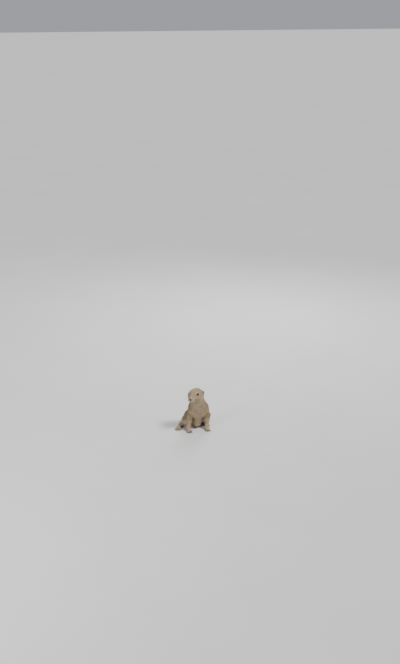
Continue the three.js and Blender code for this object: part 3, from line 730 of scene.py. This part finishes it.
def claw_material(look):
    """Dark horn, streaked along its length and a little lighter at the tip."""
    material, shader, add, link = node_tree("claw_horn")
    streaks = spotted(add, link, 700, 0.35, 0.7, 4.0)
    tip = product(add, link, attribute(add, "along"), 0.5)
    streaked = mixed(add, link, streaks, look.claw_colour, look.claw_tip_colour)
    link(mixed(add, link, tip, streaked, look.claw_tip_colour), shader.inputs["Base Color"])
    shader.inputs["Roughness"].default_value = 0.32
    return material


# Skin and coat

def graded(low, high, stretches, coarse, fine):
    """Grid places from low to high, a fine step apart inside the stretches and a coarse one elsewhere."""
    places = [low]
    while places[-1] < high:
        close = any(a <= places[-1] < b for a, b in stretches)
        places.append(places[-1] + (fine if close else coarse))
    return np.array(places)


def make_skin(look):
    """One closed skin for the whole body, finer at the head and the feet."""
    coarse, fine = look.skin_step / MM, look.head_step / MM
    axes = [graded(*ends, stretches, coarse, fine) for ends, stretches in GRID]
    points, faces = surface_nets(skin_field, axes)
    skin = add_mesh("skin", fur_material(look, "underfur", False), points, quads=faces,
                    attributes=markings(points))
    legs = [name + side for side in SIDES
            for name in ("upper_arm_", "forearm_", "forepaw_", "haunch_", "hind_foot_")]
    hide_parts("head", "neck", "chest", "rump", "tail_base", "tail_tip", *legs)
    return points, faces


def lie_of_coat(points, share):
    """Which way the hair lies: back from the nose, down neck and trunk, and out along legs and tail."""
    nose = from_head((0, -SNOUT, -7))
    back_of_head = HEAD_AXES[:, 1]
    z = points[:, 2]
    head = unit(points - nose) * 0.7 + back_of_head * 0.6
    to_tail = ramp(-z, -44, -12)
    trunk = np.column_stack([0 * z, 0.3 + 1.3 * to_tail * (points[:, 1] > 30), -1 + 0.5 * to_tail])
    neck = np.tile((0, 0.3, -1.0), (len(z), 1))
    forward = ramp(-z, -15, -8)[:, None]
    fore = mix(np.array((0, 0.05, -1.0)), np.array((0, -1.0, -0.25)), forward)
    tail = np.tile((0.2, 1.0, -0.05), (len(z), 1))
    lie = (head * share["head"][:, None] + neck * share["neck"][:, None] + trunk * share["trunk"][:, None]
           + fore * (share["fore_left"] + share["fore_right"])[:, None] + tail * share["tail"][:, None])
    for side in SIDES:
        leg = HIND[side]
        toes = unit(np.subtract(leg["ball"], leg["heel"]) * (1, 1, 0))
        down = mix(np.array((0, 0.15, -1.0)), toes, ramp(-z, -17, -8)[:, None])
        lie += down * share["hind_" + side][:, None]
    return lie


def round_eyes(points, lie):
    """Hair near an eye turns to pass round it."""
    head = in_head(points)
    for s in SIDES.values():
        away = head - mirrored(EYE["at"], s)
        near = bump(np.linalg.norm(away, axis=1) - 5.4, 3.2)
        lie = lie + (unit(away) @ HEAD_AXES.T) * near[:, None] * 0.9
    return lie


def sow(points, faces, weight, count, rng):
    """Random places on four-sided faces, as many as count, closer where weight is greater."""
    a, b, c, d = (points[faces[:, i]] for i in range(4))
    corners = np.stack([np.concatenate([a, a]), np.concatenate([b, c]), np.concatenate([c, d])], axis=1)
    area = np.linalg.norm(np.cross(corners[:, 1] - corners[:, 0], corners[:, 2] - corners[:, 0]), axis=1)
    chance = area * np.concatenate([weight, weight])
    edges = np.cumsum(chance)
    picked = np.searchsorted(edges, (np.arange(count) + rng.uniform(0, 1, count)) / count * edges[-1])
    u, v = rng.uniform(0, 1, (2, count))
    u, v = np.where(u + v > 1, 1 - u, u), np.where(u + v > 1, 1 - v, v)
    corners = corners[np.clip(picked, 0, len(corners) - 1)]
    first, second = corners[:, 1] - corners[:, 0], corners[:, 2] - corners[:, 0]
    return corners[:, 0] + u[:, None] * first + v[:, None] * second


def tufts(roots, normals, lie, length, width, rise, bent, rng):
    """Closed slivers of three sides: a root triangle under the skin, one half way along if bent, and a tip.

    The first half leaves the skin at about the angle rise and the second at about a third of it, so that
    each lies along the coat. Returns the vertices and triangles: seven and ten for each bent tuft, and four
    and four for a straight one.
    """
    count = len(roots)
    along = unit(lie - normals * (lie * normals).sum(axis=1, keepdims=True))
    side = np.cross(normals, along)
    turn = summed(roots, TURN["waves"], rng.normal(0, TURN["chance"], count))
    along, side = (along * np.cos(turn)[:, None] + side * np.sin(turn)[:, None],
                   side * np.cos(turn)[:, None] - along * np.sin(turn)[:, None])
    first = rise * np.clip(summed(roots, RISE["waves"], rng.uniform(*RISE["chance"], count)), *RISE["limits"])
    second = first * rng.uniform(*TUFT["bend"], count)
    half = length[:, None] / 2
    middle = roots + half * (along * np.cos(first)[:, None] + normals * np.sin(first)[:, None])
    tip = middle + half * (along * np.cos(second)[:, None] + normals * np.sin(second)[:, None])
    tip += side * (rng.normal(0, TUFT["sway"], count) * length)[:, None]
    across = np.array([-0.5, 0.5, 0.0])
    raised = np.array([0.0, 0.0, TUFT["height"]])
    ring = across[None, :, None] * side[:, None, :] + raised[None, :, None] * normals[:, None, :]
    ring = ring * width[:, None, None]
    sunk = roots - normals * TUFT["sunk"] * width[:, None]
    if bent:
        points = np.concatenate([sunk[:, None] + ring, middle[:, None] + TUFT["middle"] * ring, tip[:, None]],
                                axis=1)
        pattern = np.array([(0, 2, 1), (0, 1, 4), (0, 4, 3), (1, 2, 5), (1, 5, 4), (2, 0, 3), (2, 3, 5),
                            (3, 4, 6), (4, 5, 6), (5, 3, 6)])
    else:
        points = np.concatenate([sunk[:, None] + ring, tip[:, None]], axis=1)
        pattern = np.array([(0, 2, 1), (0, 1, 3), (1, 2, 3), (2, 0, 3)])
    faces = (np.arange(count)[:, None, None] * points.shape[1] + pattern).reshape(-1, 3)
    return points.reshape(-1, 3), faces


def unwrapped(roots):
    """A place from 0 to 1 for each root: its angle round the piece's upright middle line, and its height."""
    inset = 0.01
    middle = (roots.min(axis=0) + roots.max(axis=0)) / 2
    low, high = roots[:, 2].min(), roots[:, 2].max()
    angle = np.arctan2(roots[:, 1] - middle[1], roots[:, 0] - middle[0]) / (2 * np.pi) + 0.5
    height = (roots[:, 2] - low) / max(high - low, 1)
    return inset + (1 - 2 * inset) * np.column_stack([angle, height])


# Each tuft's own patch of the unwrap, and how far along the tuft each vertex is: bent tufts, then straight.
PATCH = 0.003
PATCHES = {
    True: np.array([(-0.5, -0.5), (0.5, -0.5), (0, -0.5), (-0.5, 0), (0.5, 0), (0, 0), (0, 0.5)]) * PATCH,
    False: np.array([(-0.5, -0.5), (0.5, -0.5), (0, -0.5), (0, 0.5)]) * PATCH,
}
ALONG = {True: np.array([0, 0, 0, 0.5, 0.5, 0.5, 1.0]), False: np.array([0, 0, 0, 1.0])}


def regions(points):
    """Which piece of the coat each point belongs to, by number in COAT."""
    x, y, z = points.T
    parts = measured(x, y, z)
    names = list(parts)
    nearest = np.array(names)[np.argmin(np.stack([parts[n] for n in names]), axis=0)]
    hy = in_head(points)[:, 1]
    head, spine = nearest == "head", (nearest == "trunk") | (nearest == "neck")
    fore, hind = np.char.startswith(nearest, "fore"), np.char.startswith(nearest, "hind")
    places = {
        "coat_chest": spine & (y < 26) & (z < 100),
        "coat_back": spine & (y >= 26) & (z > 52),
        "coat_collar": spine & (z >= 94),
        "coat_face": head & (hy < -6),
        "coat_crown": head & (hy >= -6),
        "coat_arms": fore,
        "coat_haunches": hind,
        "coat_tail": nearest == "tail",
        "coat_feet": fore & (z < 34) | hind & (z < 16),
    }
    pieces = list(COAT)
    region = np.full(len(points), pieces.index("coat_rump"))
    for name, own in places.items():
        region[own] = pieces.index(name)
    return region


def make_coat(look, points, faces):
    """Tufts over the whole skin, in pieces, each root on the skin and each tip near the coat's outside."""
    material = fur_material(look, "coat", True)
    middles = points[faces].mean(axis=1)
    region = regions(middles)
    depth = depth_at(middles)
    clear = growing(middles)
    for number, (name, full) in enumerate(COAT.items()):
        rng = np.random.default_rng(SEED + number)
        own = region == number
        count = int(full * look.coat_fullness * (1))
        closeness = clear[own] / (0.5 + depth[own])
        roots = sow(points, faces[own], closeness, count, rng)
        add_tufts(look, material, name, roots, True, rng)


def depth_at(points):
    """The coat's depth at points of the skin."""
    x, y, z = points.T
    return coat_depth(shares(measured(x, y, z)), x, y, z)


def growing(points):
    """1 where hair grows and 0 on the eyes, the nose pad, the lips' line and the soles."""
    x, y, z = points.T
    above, forward = mouth_line(x, y, z)
    return (ramp(eye_distance(points), 5.6, 6.1) * ramp(nose_reach(points), 1.05, 1.2)
            * (1 - 0.97 * bump(above, 1.2) * forward) * ramp(z, 0.7, 1.6))


def add_tufts(look, material, name, roots, bent, rng, normals=None, lie=None, length=None):
    """One piece of the coat from its roots, with the body's own lie and depth where no others are given."""
    x, y, z = roots.T
    share = shares(measured(x, y, z), MARK_SOFTNESS)
    if normals is None:
        normals = unit(slope(outer_field, roots))
        lie = round_eyes(roots, lie_of_coat(roots, share))
        length = (0.6 + look.coat_length * coat_depth(share, x, y, z)) * ramp(eye_distance(roots), 2.5, 10)
    length = length * rng.uniform(*TUFT["length"], len(roots))
    width = (TUFT["width"] + TUFT["width_by_length"] * length) * (1 if bent else TUFT["straight"])
    verts, triangles = tufts(roots, normals, lie, length, width, look.coat_rise, bent, rng)
    verts[:, 2] = np.maximum(verts[:, 2], SOLE)
    each = len(ALONG[bent])
    marks = {key: np.repeat(values, each) for key, values in markings(roots).items() if key != "bare"}
    clump = summed(roots, TONE["clumps"], 0.5)
    clump = clump + summed(roots, TONE["broad"]) * (1 - TONE["calm_head"] * share["head"])
    chance = rng.uniform(-TONE["chance"], TONE["chance"], len(roots))
    marks["tone"] = np.repeat(np.clip(clump + chance, 0, 1), each)
    dorsal = 1 - marks["pale"][::each]
    dark = rng.uniform(0, 1, len(roots)) > GUARD["rare"] - GUARD["more_on_back"] * dorsal
    marks["guard"] = np.repeat(GUARD["dark"] * dark, each)
    marks["along"] = np.tile(ALONG[bent], len(roots))
    patches = (unwrapped(roots)[:, None] + PATCHES[bent]).reshape(-1, 2)
    piece = add_mesh(name, material, verts, triangles=triangles, attributes=marks, unwrap=patches)
    return piece


# Eyes, lids, ears, nose and whiskers

def make_eyes(look):
    """Each eye a ball with a slightly raised cornea, under lids that leave an almond open."""
    material = eye_material(look)
    lid_skin, coat = fur_material(look, "lid_skin", False), fur_material(look, "lid_fur", True)
    for number, (side, s) in enumerate(SIDES.items()):
        axes = basis(mirrored(EYE["looks"], s))
        points, quads, fans, polar = eye_ball(axes, mirrored(EYE["at"], s))
        eye = add_mesh("eyeball_" + side, material, points, quads=quads, triangles=fans,
                       attributes={"centre": polar})
        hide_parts("eye_" + side)
        points, quads, edge, outer = lid_ring(axes, mirrored(EYE["at"], s), s)
        marks = markings(points)
        marks["bare"] = ramp(-edge, -0.2, -0.12)
        lid = add_mesh("lid_" + side, lid_skin, points, quads=quads, attributes=marks)
        rng = np.random.default_rng(SEED + LATER_SEEDS["lids"] + number)
        roots = sow(points, quads, (outer * ramp(edge, 0.12, 0.2))[quads[:, 0]], LID_FUR["tufts"], rng)
        normals = unit(roots - from_head(mirrored(EYE["at"], s)))
        lie = -(HEAD_AXES @ axes[:, 2]) + 0.5 * HEAD_AXES[:, 1]
        length = np.full(len(roots), LID_FUR["length"])
        add_tufts(look, coat, "coat_lid_" + side, roots, False, rng, normals, lie, length)


def directions(polar, turn):
    """Unit vectors at these angles from the third axis, turned about it."""
    return np.stack([np.sin(polar) * np.cos(turn), np.sin(polar) * np.sin(turn), np.cos(polar)], axis=-1)


def eye_ball(axes, at, rings=30, around=48):
    """A ball of rings from its front pole, with the cornea raised in a bell round that pole."""
    polar = np.linspace(0, np.pi, rings + 2)[1:-1]
    turn = np.arange(around) / around * 2 * np.pi
    p, t = np.meshgrid(polar, turn, indexing="ij")
    reach = EYE["radius"] * (1 + CORNEA * bump(p, 0.7))
    local = reach[..., None] * directions(p, t)
    poles = np.array([(0, 0, EYE["radius"] * (1 + CORNEA)), (0, 0, -EYE["radius"])])
    local = np.concatenate([local.reshape(-1, 3), poles])
    quads, fans = tube_faces(rings, around)
    centre = np.concatenate([np.repeat(polar / np.pi * 2, around), [0, 2]])
    return from_head(local @ axes.T + at), quads, fans, centre


def lid_ring(axes, at, s, around=96, section=24):
    """Lids as one closed band over the eye, from the edge of an almond back into the socket.

    The almond's polar angle from the way the eye looks grows towards its two corners, which slant up
    backwards. The band's section is a flattened oval just over the ball. Also gives each point's angle from
    the edge, and 1 where it is on the outside.
    """
    turn, round_section = (np.arange(n) / n * 2 * np.pi for n in (around, section))
    edge = LID["open"] + LID["corner"] * np.abs(np.cos(turn - s * LID["slant"])) ** LID["sharp"]
    t, r = np.meshgrid(turn, round_section, indexing="ij")
    angle = mix(LID["back"], edge[:, None], 0.5 + 0.5 * np.cos(r))
    swell = LID["half"] + LID["rim"] * ramp(angle - edge[:, None], 0.3, 0.0)
    reach = EYE["radius"] + LID["off"] + swell * np.sign(np.sin(r)) * np.sqrt(np.abs(np.sin(r)))
    ring = reach[..., None] * directions(angle, t)
    i, j = np.meshgrid(np.arange(around), np.arange(section), indexing="ij")
    a, b = i * section + j, i * section + (j + 1) % section
    c, d = (i + 1) % around * section + (j + 1) % section, (i + 1) % around * section + j
    quads = np.stack([a, b, c, d], axis=-1).reshape(-1, 4)
    return (from_head(ring.reshape(-1, 3) @ axes.T + at), quads, (angle - edge[:, None]).ravel(),
            (np.sin(r) > 0.3).ravel().astype(float))


def make_ears(look):
    """Each ear a thin cup open forwards and outwards, with short fur that is thinner inside it."""
    material = fur_material(look, "ear_skin", False)
    coat = fur_material(look, "ear_fur", True)
    for number, (side, s) in enumerate(SIDES.items()):
        axes = basis(mirrored(EAR["faces"], s))
        points, quads, fans, out = ear_cup(axes, mirrored(EAR["at"], s), s)
        marks = markings(points)
        marks["pale"] = 0.3 - 0.15 * out
        marks["bare"] = 0.35 * (1 - out)
        ear = add_mesh("ear_cup_" + side, material, points, quads=quads, triangles=fans, attributes=marks)
        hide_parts("ear_" + side)
        rng = np.random.default_rng(SEED + LATER_SEEDS["ears"] + number)
        roots = sow(points, quads, 0.25 + out[quads[:, 0]], EAR_FUR["tufts"], rng)
        middle = from_head(mirrored(EAR["at"], s))
        normals = unit(roots - middle + HEAD_AXES @ axes[:, 2] * 1.5)
        lie = HEAD_AXES @ (axes[:, 2] * 0.5 + axes[:, 1] * 0.9) + 0.6 * unit(roots - middle)
        length = np.full(len(roots), EAR_FUR["length"])
        add_tufts(look, coat, "coat_ear_" + side, roots, False, rng, normals, lie, length)


def ear_cup(axes, at, s, around=40):
    """A profile carried round an oval: up the outside of the cup, over its rolled rim and down its bowl.

    Depth runs along the way the ear faces, and the rim is drawn in at the front foot of the ear.
    """
    deep, wide, tall = EAR["size"]
    bowl = 1 - EAR["wall"] / wide * 1.1
    profile = np.array([(-1.0, 0.12), (-0.86, 0.5), (-0.62, 0.78), (-0.34, 0.94), (-0.08, 1.0), (0.12, 1.0),
                        (0.24, 0.985), (0.27, 0.93), (0.22, 0.88), (0.08, bowl), (-0.14, 0.74), (-0.36, 0.5),
                        (-0.52, 0.25), (-0.6, 0.06)])
    depth, reach = profile.T
    turn = np.arange(around) / around * 2 * np.pi
    notch = 1 - 0.22 * bump(np.angle(np.exp(1j * (turn + np.pi / 2 - s * 0.5))), 0.55)
    local = np.stack([reach[:, None] * wide * np.cos(turn) * notch,
                      reach[:, None] * tall * np.sin(turn) * notch,
                      np.repeat(depth[:, None] * deep, around, axis=1)], axis=-1)
    poles = np.array([(0, 0, -1.02 * deep), (0, 0, -0.62 * deep)])
    quads, fans = tube_faces(len(depth), around)
    out = np.concatenate([np.repeat(np.arange(len(depth)) < 8, around), [1, 0]]).astype(float)
    points = np.concatenate([local.reshape(-1, 3), poles])
    return from_head(points @ axes.T + at), quads, fans, out


def dent(x, z, depth, at, size, slant):
    """A dent of that depth, or a swelling where it is negative."""
    across, up = x - at[0], z - at[1]
    return depth * bump(np.hypot(across / size[0], (up - slant * across) / size[1]), 1.0)


def make_nose(look):
    """The leathery pad of the nose, with two comma-shaped nostrils and the cleft between them."""
    rings, around = 40, 64
    polar, turn = np.linspace(0, np.pi, rings + 2)[1:-1], np.arange(around) / around * 2 * np.pi
    p, t = np.meshgrid(polar, turn, indexing="ij")
    unit_ball = np.stack([np.sin(p) * np.cos(t), -np.cos(p), np.sin(p) * np.sin(t)], axis=-1).reshape(-1, 3)
    unit_ball = np.concatenate([unit_ball, [(0, -1, 0), (0, 1, 0)]])
    local = unit_ball * NOSE_PAD["size"]
    local[:, 0] *= 1.04 + 0.2 * unit_ball[:, 2]
    x, z = np.abs(local[:, 0]), local[:, 2]
    front = ramp(-unit_ball[:, 1], 0.1, 0.5)
    cleft = CLEFT * (bump(x, 0.35) * ramp(-z, -0.4, 0.8))
    local[:, 1] += front * (dent(x, z, *NOSTRIL) + dent(x, z, *COMMA) + cleft + dent(x, z, *WING))
    quads, fans = tube_faces(rings, around)
    quads, fans = quads[:, ::-1], fans[:, ::-1]
    nose = add_mesh("nose_pad", nose_material(look), from_head(local + NOSE_PAD["at"]), quads=quads,
                    triangles=fans)
    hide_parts("nose")


def tapered(curves, radii, around=6):
    """Round hairs or horns: a ring of points at each point of each curve, and one more at each end of it.

    curves is hairs by points by 3, and radii is hairs by points. Returns one mesh for them all, and how far
    along its curve each vertex is.
    """
    hairs, steps, _ = curves.shape
    forward = unit(np.gradient(curves, axis=1))
    side = unit(np.cross(forward, (0.13, 0.31, 0.94)))
    up = np.cross(side, forward)
    turn = np.arange(around) / around * 2 * np.pi
    ring = (np.cos(turn)[:, None] * side[:, :, None] + np.sin(turn)[:, None] * up[:, :, None])
    points = curves[:, :, None] + ring * radii[:, :, None, None]
    quads, fans = tube_faces(steps, around)
    each = steps * around + 2
    points = np.concatenate([points.reshape(hairs, -1, 3), curves[:, :1], curves[:, -1:]], axis=1)
    shift = np.arange(hairs)[:, None, None] * each
    along = np.concatenate([np.repeat(np.linspace(0, 1, steps), around), [0, 1]])
    return (points.reshape(-1, 3), (quads + shift).reshape(-1, 4), (fans + shift).reshape(-1, 3),
            np.tile(along, hairs))


def make_whiskers(look):
    """Rows of whiskers on each side of the muzzle, and a few over each eye, curved back and down."""
    rng = np.random.default_rng(SEED + LATER_SEEDS["whiskers"])
    row, column = np.meshgrid(np.arange(WHISKERS["rows"]), np.arange(WHISKERS["columns"]), indexing="ij")
    row, column = row.ravel(), column.ravel()
    on_muzzle = (WHISKERS["first"] + row[:, None] * np.array(WHISKERS["row"])
                 + column[:, None] * np.array(WHISKERS["column"]))
    roots, reach = [], []
    for s in SIDES.values():
        roots += [on_muzzle * (s, 1, 1), BROW_WHISKERS * (s, 1, 1)]
        reach += [REACH["first"] + REACH["column"] * column - REACH["row"] * row,
                  np.full(len(BROW_WHISKERS), REACH["brow"])]
    roots, reach = from_head(np.concatenate(roots)), np.concatenate(reach)
    reach = reach * rng.uniform(*REACH["chance"], len(reach))
    for _ in range(6):
        steep = slope(skin_field, roots)
        roots = roots - steep * by_points(skin_field, roots)[:, None] * 0.8
    normals = unit(slope(skin_field, roots))
    ahead = -HEAD_AXES[:, 1]
    start = unit(normals - 0.2 * ahead + rng.normal(0, 0.08, roots.shape))
    bend = unit(-ahead * 0.8 + np.array([0, 0, -0.7]))
    t = np.linspace(0, 1, 12)[None, :, None]
    path = start[:, None] * t + REACH["bend"] * bend * t * t
    curves = roots[:, None] + reach[:, None, None] * path - start[:, None] * REACH["sunk"]
    radii = (look.whisker_radius / MM) * mix(1.0, 0.25, t[..., 0]) * np.ones((len(roots), 1))
    points, quads, fans, along = tapered(curves, radii, 5)
    whiskers = add_mesh("whiskers", claw_material(look), points, quads=quads, triangles=fans,
                        attributes={"along": along})


def make_claws(look):
    """Long curved claws, one piece for each foot."""
    material = claw_material(look)
    for side, s in SIDES.items():
        leg = HIND[side]
        fore = [(np.eye(3), np.zeros(3), (s * FORE["stance"] + s * tx, ty), s * tx * 0.06,
                 CLAW["fore" if i else "thumb"]) for i, (_, _, tx, ty) in enumerate(FORE_TOES)]
        foot = np.array([leg["ball"][0], leg["ball"][1], 0.0])
        hind = [(rotation(Z, s * leg["points"]), foot, (s * tx, ty), s * tx * 0.05, CLAW["hind"])
                for _, _, tx, ty in HIND_TOES]
        for kind, claws in (("fore", fore), ("hind", hind)):
            curves = np.array([claw_curve(*claw) for claw in claws])
            taper = np.linspace(0, 1, curves.shape[1]) ** 1.4
            radii = np.tile(mix(CLAW["thick"], CLAW["thin"], taper), (len(claws), 1))
            points, quads, fans, along = tapered(curves, radii, 10)
            piece = add_mesh(kind + "_claws_" + side, material, points, quads=quads, triangles=fans,
                             attributes={"along": along})
            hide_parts(*[kind + "claw_" + side + "_" + str(i + 1) for i in range(5)])


def claw_curve(axes, at, tip, turn, length, steps=14):
    """A claw's middle line: forward over the toe's end, then down in an arc to just over the floor."""
    t = np.linspace(0, 1, steps)
    ahead = CLAW_LINE["start"] + CLAW_LINE["run"] * t
    arch = CLAW_LINE["arch"] * np.sin(np.pi * np.clip(t * CLAW_LINE["peak"], 0, 1))
    height = CLAW_LINE["height"] + arch - CLAW_LINE["drop"] * t ** CLAW_LINE["curl"]
    line = np.column_stack([tip[0] + turn * length * ahead, tip[1] - length * ahead, height])
    return line @ axes.T + at


# Stage

def make_stage(look):
    """A pale floor, a soft sun, two soft lights and the camera at the picture's angle."""
    floor = bpy.data.objects.new("floor", bpy.data.meshes.new("floor"))
    corners = [(x * FLOOR_HALF, y * FLOOR_HALF, 0) for x, y in ((-1, -1), (1, -1), (1, 1), (-1, 1))]
    floor.data.from_pydata(corners, [], [(0, 1, 2, 3)])
    material, shader, add, link = node_tree("floor_paper")
    darker = tuple(c * 0.96 for c in look.floor_colour)
    paper = mixed(add, link, spotted(add, link, 3, 0.3, 0.7), look.floor_colour, darker)
    link(paper, shader.inputs["Base Color"])
    shader.inputs["Roughness"].default_value = 0.9
    floor.data.materials.append(material)
    bpy.context.scene.collection.objects.link(floor)

    world = bpy.data.worlds.new("studio")
    bpy.context.scene.world = world
    world.use_nodes = True
    background = world.node_tree.nodes["Background"]
    background.inputs["Color"].default_value = (0.9, 0.93, 1.0, 1)
    background.inputs["Strength"].default_value = look.sky_strength
    sun = bpy.data.lights.new("key", "SUN")
    sun.energy, sun.angle = look.key_strength, math.radians(KEY["degrees"])
    place_light(sun, KEY["at"])
    for name, (share, size, at) in SOFT_LIGHTS.items():
        area_light(name, look.fill_power * share, size, at)
    aim_camera()


def area_light(name, power, size, at):
    """A square soft light."""
    light = bpy.data.lights.new(name, "AREA")
    light.energy = power
    light.size = size
    place_light(light, at)


def place_light(light, at):
    """A light at a place in metres, turned to the animal's chest."""
    made = bpy.data.objects.new(light.name, light)
    made.location = at
    towards = Vector(LIT) - made.location
    made.rotation_euler = towards.to_track_quat("-Z", "Y").to_euler()
    bpy.context.scene.collection.objects.link(made)


def aim_camera():
    """The camera that puts the floor point between the wrists on its pixel, at the picture's scale."""
    data = bpy.data.cameras.new("camera")
    data.sensor_width = 36
    data.lens = data.sensor_width * FOCAL_PIXELS / max(PICTURE)
    camera = bpy.data.objects.new("camera", data)
    right, below = WRISTS_PIXEL[0] - PICTURE[0] / 2, WRISTS_PIXEL[1] - PICTURE[1] / 2
    drop, sideways = math.atan(below / FOCAL_PIXELS), math.atan(right / FOCAL_PIXELS)
    distance = MM_PER_PIXEL * MM * math.hypot(FOCAL_PIXELS, below)
    a, e = math.radians(LOOK_AZIMUTH), math.radians(LOOK_DOWN)
    away = np.array([math.sin(a) * math.cos(e), -math.cos(a) * math.cos(e), math.sin(e)])
    camera.location = to_frame((0, 0, 0)) + away * distance
    camera.rotation_euler = (math.pi / 2 - (e - drop), 0, a + sideways)
    data.clip_end = 200
    bpy.context.scene.collection.objects.link(camera)
    bpy.context.scene.camera = camera


# The add-on

def colour(name, description, value):
    """A colour property with its default."""
    return bpy.props.FloatVectorProperty(name=name, description=description, default=value, size=3, min=0,
                                         max=1, subtype="COLOR")


def number(name, description, value, low, high, **more):
    """A number property with its default and its limits."""
    return bpy.props.FloatProperty(name=name, description=description, default=value, min=low, max=high,
                                   **more)


class PrairieDogLook(bpy.types.PropertyGroup):
    """Sizes and colours of the coat, skin, eyes and stage."""

    skin_step: number("Skin step", "Size of the skin's faces on the body", 0.00115, 0.0006, 0.004,
                      unit="LENGTH", precision=5)
    head_step: number("Head step", "Size of the skin's faces on the head", 0.00078, 0.0005, 0.004,
                      unit="LENGTH", precision=5)
    coat_length: number("Hair length", "Length of a tuft over the coat's depth", 2.1, 0.5, 4)
    coat_rise: number("Hair rise", "Angle at which a tuft leaves the skin", math.radians(36), 0.1, 1.2,
                      subtype="ANGLE")
    coat_fullness: number("Fullness", "How many tufts grow, over the usual number", 1.0, 0.05, 1.0,
                          subtype="FACTOR")
    whisker_radius: number("Whisker radius", "Radius of a whisker at its root", 0.0001, 0.00005, 0.0005,
                           unit="LENGTH", precision=5)
    back_colour: colour("Back", "Buff of the back", (0.42, 0.285, 0.155))
    warm_colour: colour("Warm buff", "Warmer buff in patches of the back", (0.5, 0.335, 0.175))
    belly_colour: colour("Belly", "Pale fur of belly, throat and feet", (0.78, 0.62, 0.41))
    # The roots' colour is partly the hairs' greyer bases and partly painted shade at the roots and on the
    # skin between the hairs.
    roots_and_shade_colour: colour("Roots", "Greyer roots of the hairs", (0.19, 0.135, 0.09))
    guard_colour: colour("Guard hairs", "Dark tips of the longest hairs", (0.09, 0.06, 0.045))
    tail_colour: colour("Tail end", "Nearly black end of the tail", (0.03, 0.022, 0.018))
    skin_colour: colour("Bare skin", "Nose, lids, lips and soles", (0.024, 0.017, 0.015))
    claw_colour: colour("Claws", "Dark horn", (0.02, 0.015, 0.012))
    claw_tip_colour: colour("Claw tips", "Lighter horn at the tips", (0.11, 0.08, 0.06))
    eye_colour: colour("Pupil", "Black of the pupil", (0.004, 0.003, 0.003))
    iris_colour: colour("Iris", "Very dark brown of the iris", (0.014, 0.007, 0.004))
    floor_colour: colour("Floor", "Pale studio floor", (0.78, 0.77, 0.75))
    key_strength: number("Key light", "Strength of the main light", 2.6, 0, 100)
    fill_power: number("Fill lights", "Power of the lights at the side and behind", 18, 0, 1000, unit="POWER")
    sky_strength: number("Sky", "Strength of the light from all round", 0.42, 0, 100)


class PRAIRIE_OT_body(bpy.types.Operator):
    """Add the skin and the coat of tufts over it"""

    bl_idname = "prairie.body"
    bl_label = "Skin and coat"

    def execute(self, context):
        look = context.scene.prairie_dog
        points, faces = make_skin(look)
        make_coat(look, points, faces)
        return {"FINISHED"}


class PRAIRIE_OT_eyes(bpy.types.Operator):
    """Add the eyes and their lids"""

    bl_idname = "prairie.eyes"
    bl_label = "Eyes"

    def execute(self, context):
        make_eyes(context.scene.prairie_dog)
        return {"FINISHED"}


class PRAIRIE_OT_ears(bpy.types.Operator):
    """Add the ears and their short fur"""

    bl_idname = "prairie.ears"
    bl_label = "Ears"

    def execute(self, context):
        make_ears(context.scene.prairie_dog)
        return {"FINISHED"}


class PRAIRIE_OT_nose(bpy.types.Operator):
    """Add the pad of the nose"""

    bl_idname = "prairie.nose"
    bl_label = "Nose"

    def execute(self, context):
        make_nose(context.scene.prairie_dog)
        return {"FINISHED"}


class PRAIRIE_OT_whiskers(bpy.types.Operator):
    """Add the whiskers of muzzle and brows"""

    bl_idname = "prairie.whiskers"
    bl_label = "Whiskers"

    def execute(self, context):
        make_whiskers(context.scene.prairie_dog)
        return {"FINISHED"}


class PRAIRIE_OT_claws(bpy.types.Operator):
    """Add the claws of all four feet"""

    bl_idname = "prairie.claws"
    bl_label = "Claws"

    def execute(self, context):
        make_claws(context.scene.prairie_dog)
        return {"FINISHED"}


class PRAIRIE_OT_stage(bpy.types.Operator):
    """Add the floor, the lights and the camera"""

    bl_idname = "prairie.stage"
    bl_label = "Stage"

    def execute(self, context):
        make_stage(context.scene.prairie_dog)
        return {"FINISHED"}


OPERATORS = (PRAIRIE_OT_stage, PRAIRIE_OT_body, PRAIRIE_OT_eyes, PRAIRIE_OT_ears, PRAIRIE_OT_nose,
             PRAIRIE_OT_whiskers, PRAIRIE_OT_claws)


class PRAIRIE_PT_panel(bpy.types.Panel):
    """The look's values and a button for each piece"""

    bl_idname = "PRAIRIE_PT_panel"
    bl_label = "Prairie dog"
    bl_space_type = "VIEW_3D"
    bl_region_type = "UI"
    bl_category = "Prairie dog"

    def draw(self, context):
        look = context.scene.prairie_dog
        for key in PrairieDogLook.__annotations__:
            self.layout.prop(look, key)
        for operator in OPERATORS:
            self.layout.operator(operator.bl_idname)


CLASSES = (PrairieDogLook, *OPERATORS, PRAIRIE_PT_panel)


def register():
    for cls in CLASSES:
        bpy.utils.register_class(cls)
    bpy.types.Scene.prairie_dog = bpy.props.PointerProperty(type=PrairieDogLook)


def unregister():
    del bpy.types.Scene.prairie_dog
    for cls in reversed(CLASSES):
        bpy.utils.unregister_class(cls)


def main():
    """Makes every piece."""
    register()
    bpy.ops.prairie.stage()
    bpy.ops.prairie.body()
    bpy.ops.prairie.eyes()
    bpy.ops.prairie.ears()
    bpy.ops.prairie.nose()
    bpy.ops.prairie.whiskers()
    bpy.ops.prairie.claws()


if __name__ == "__main__":
    main()
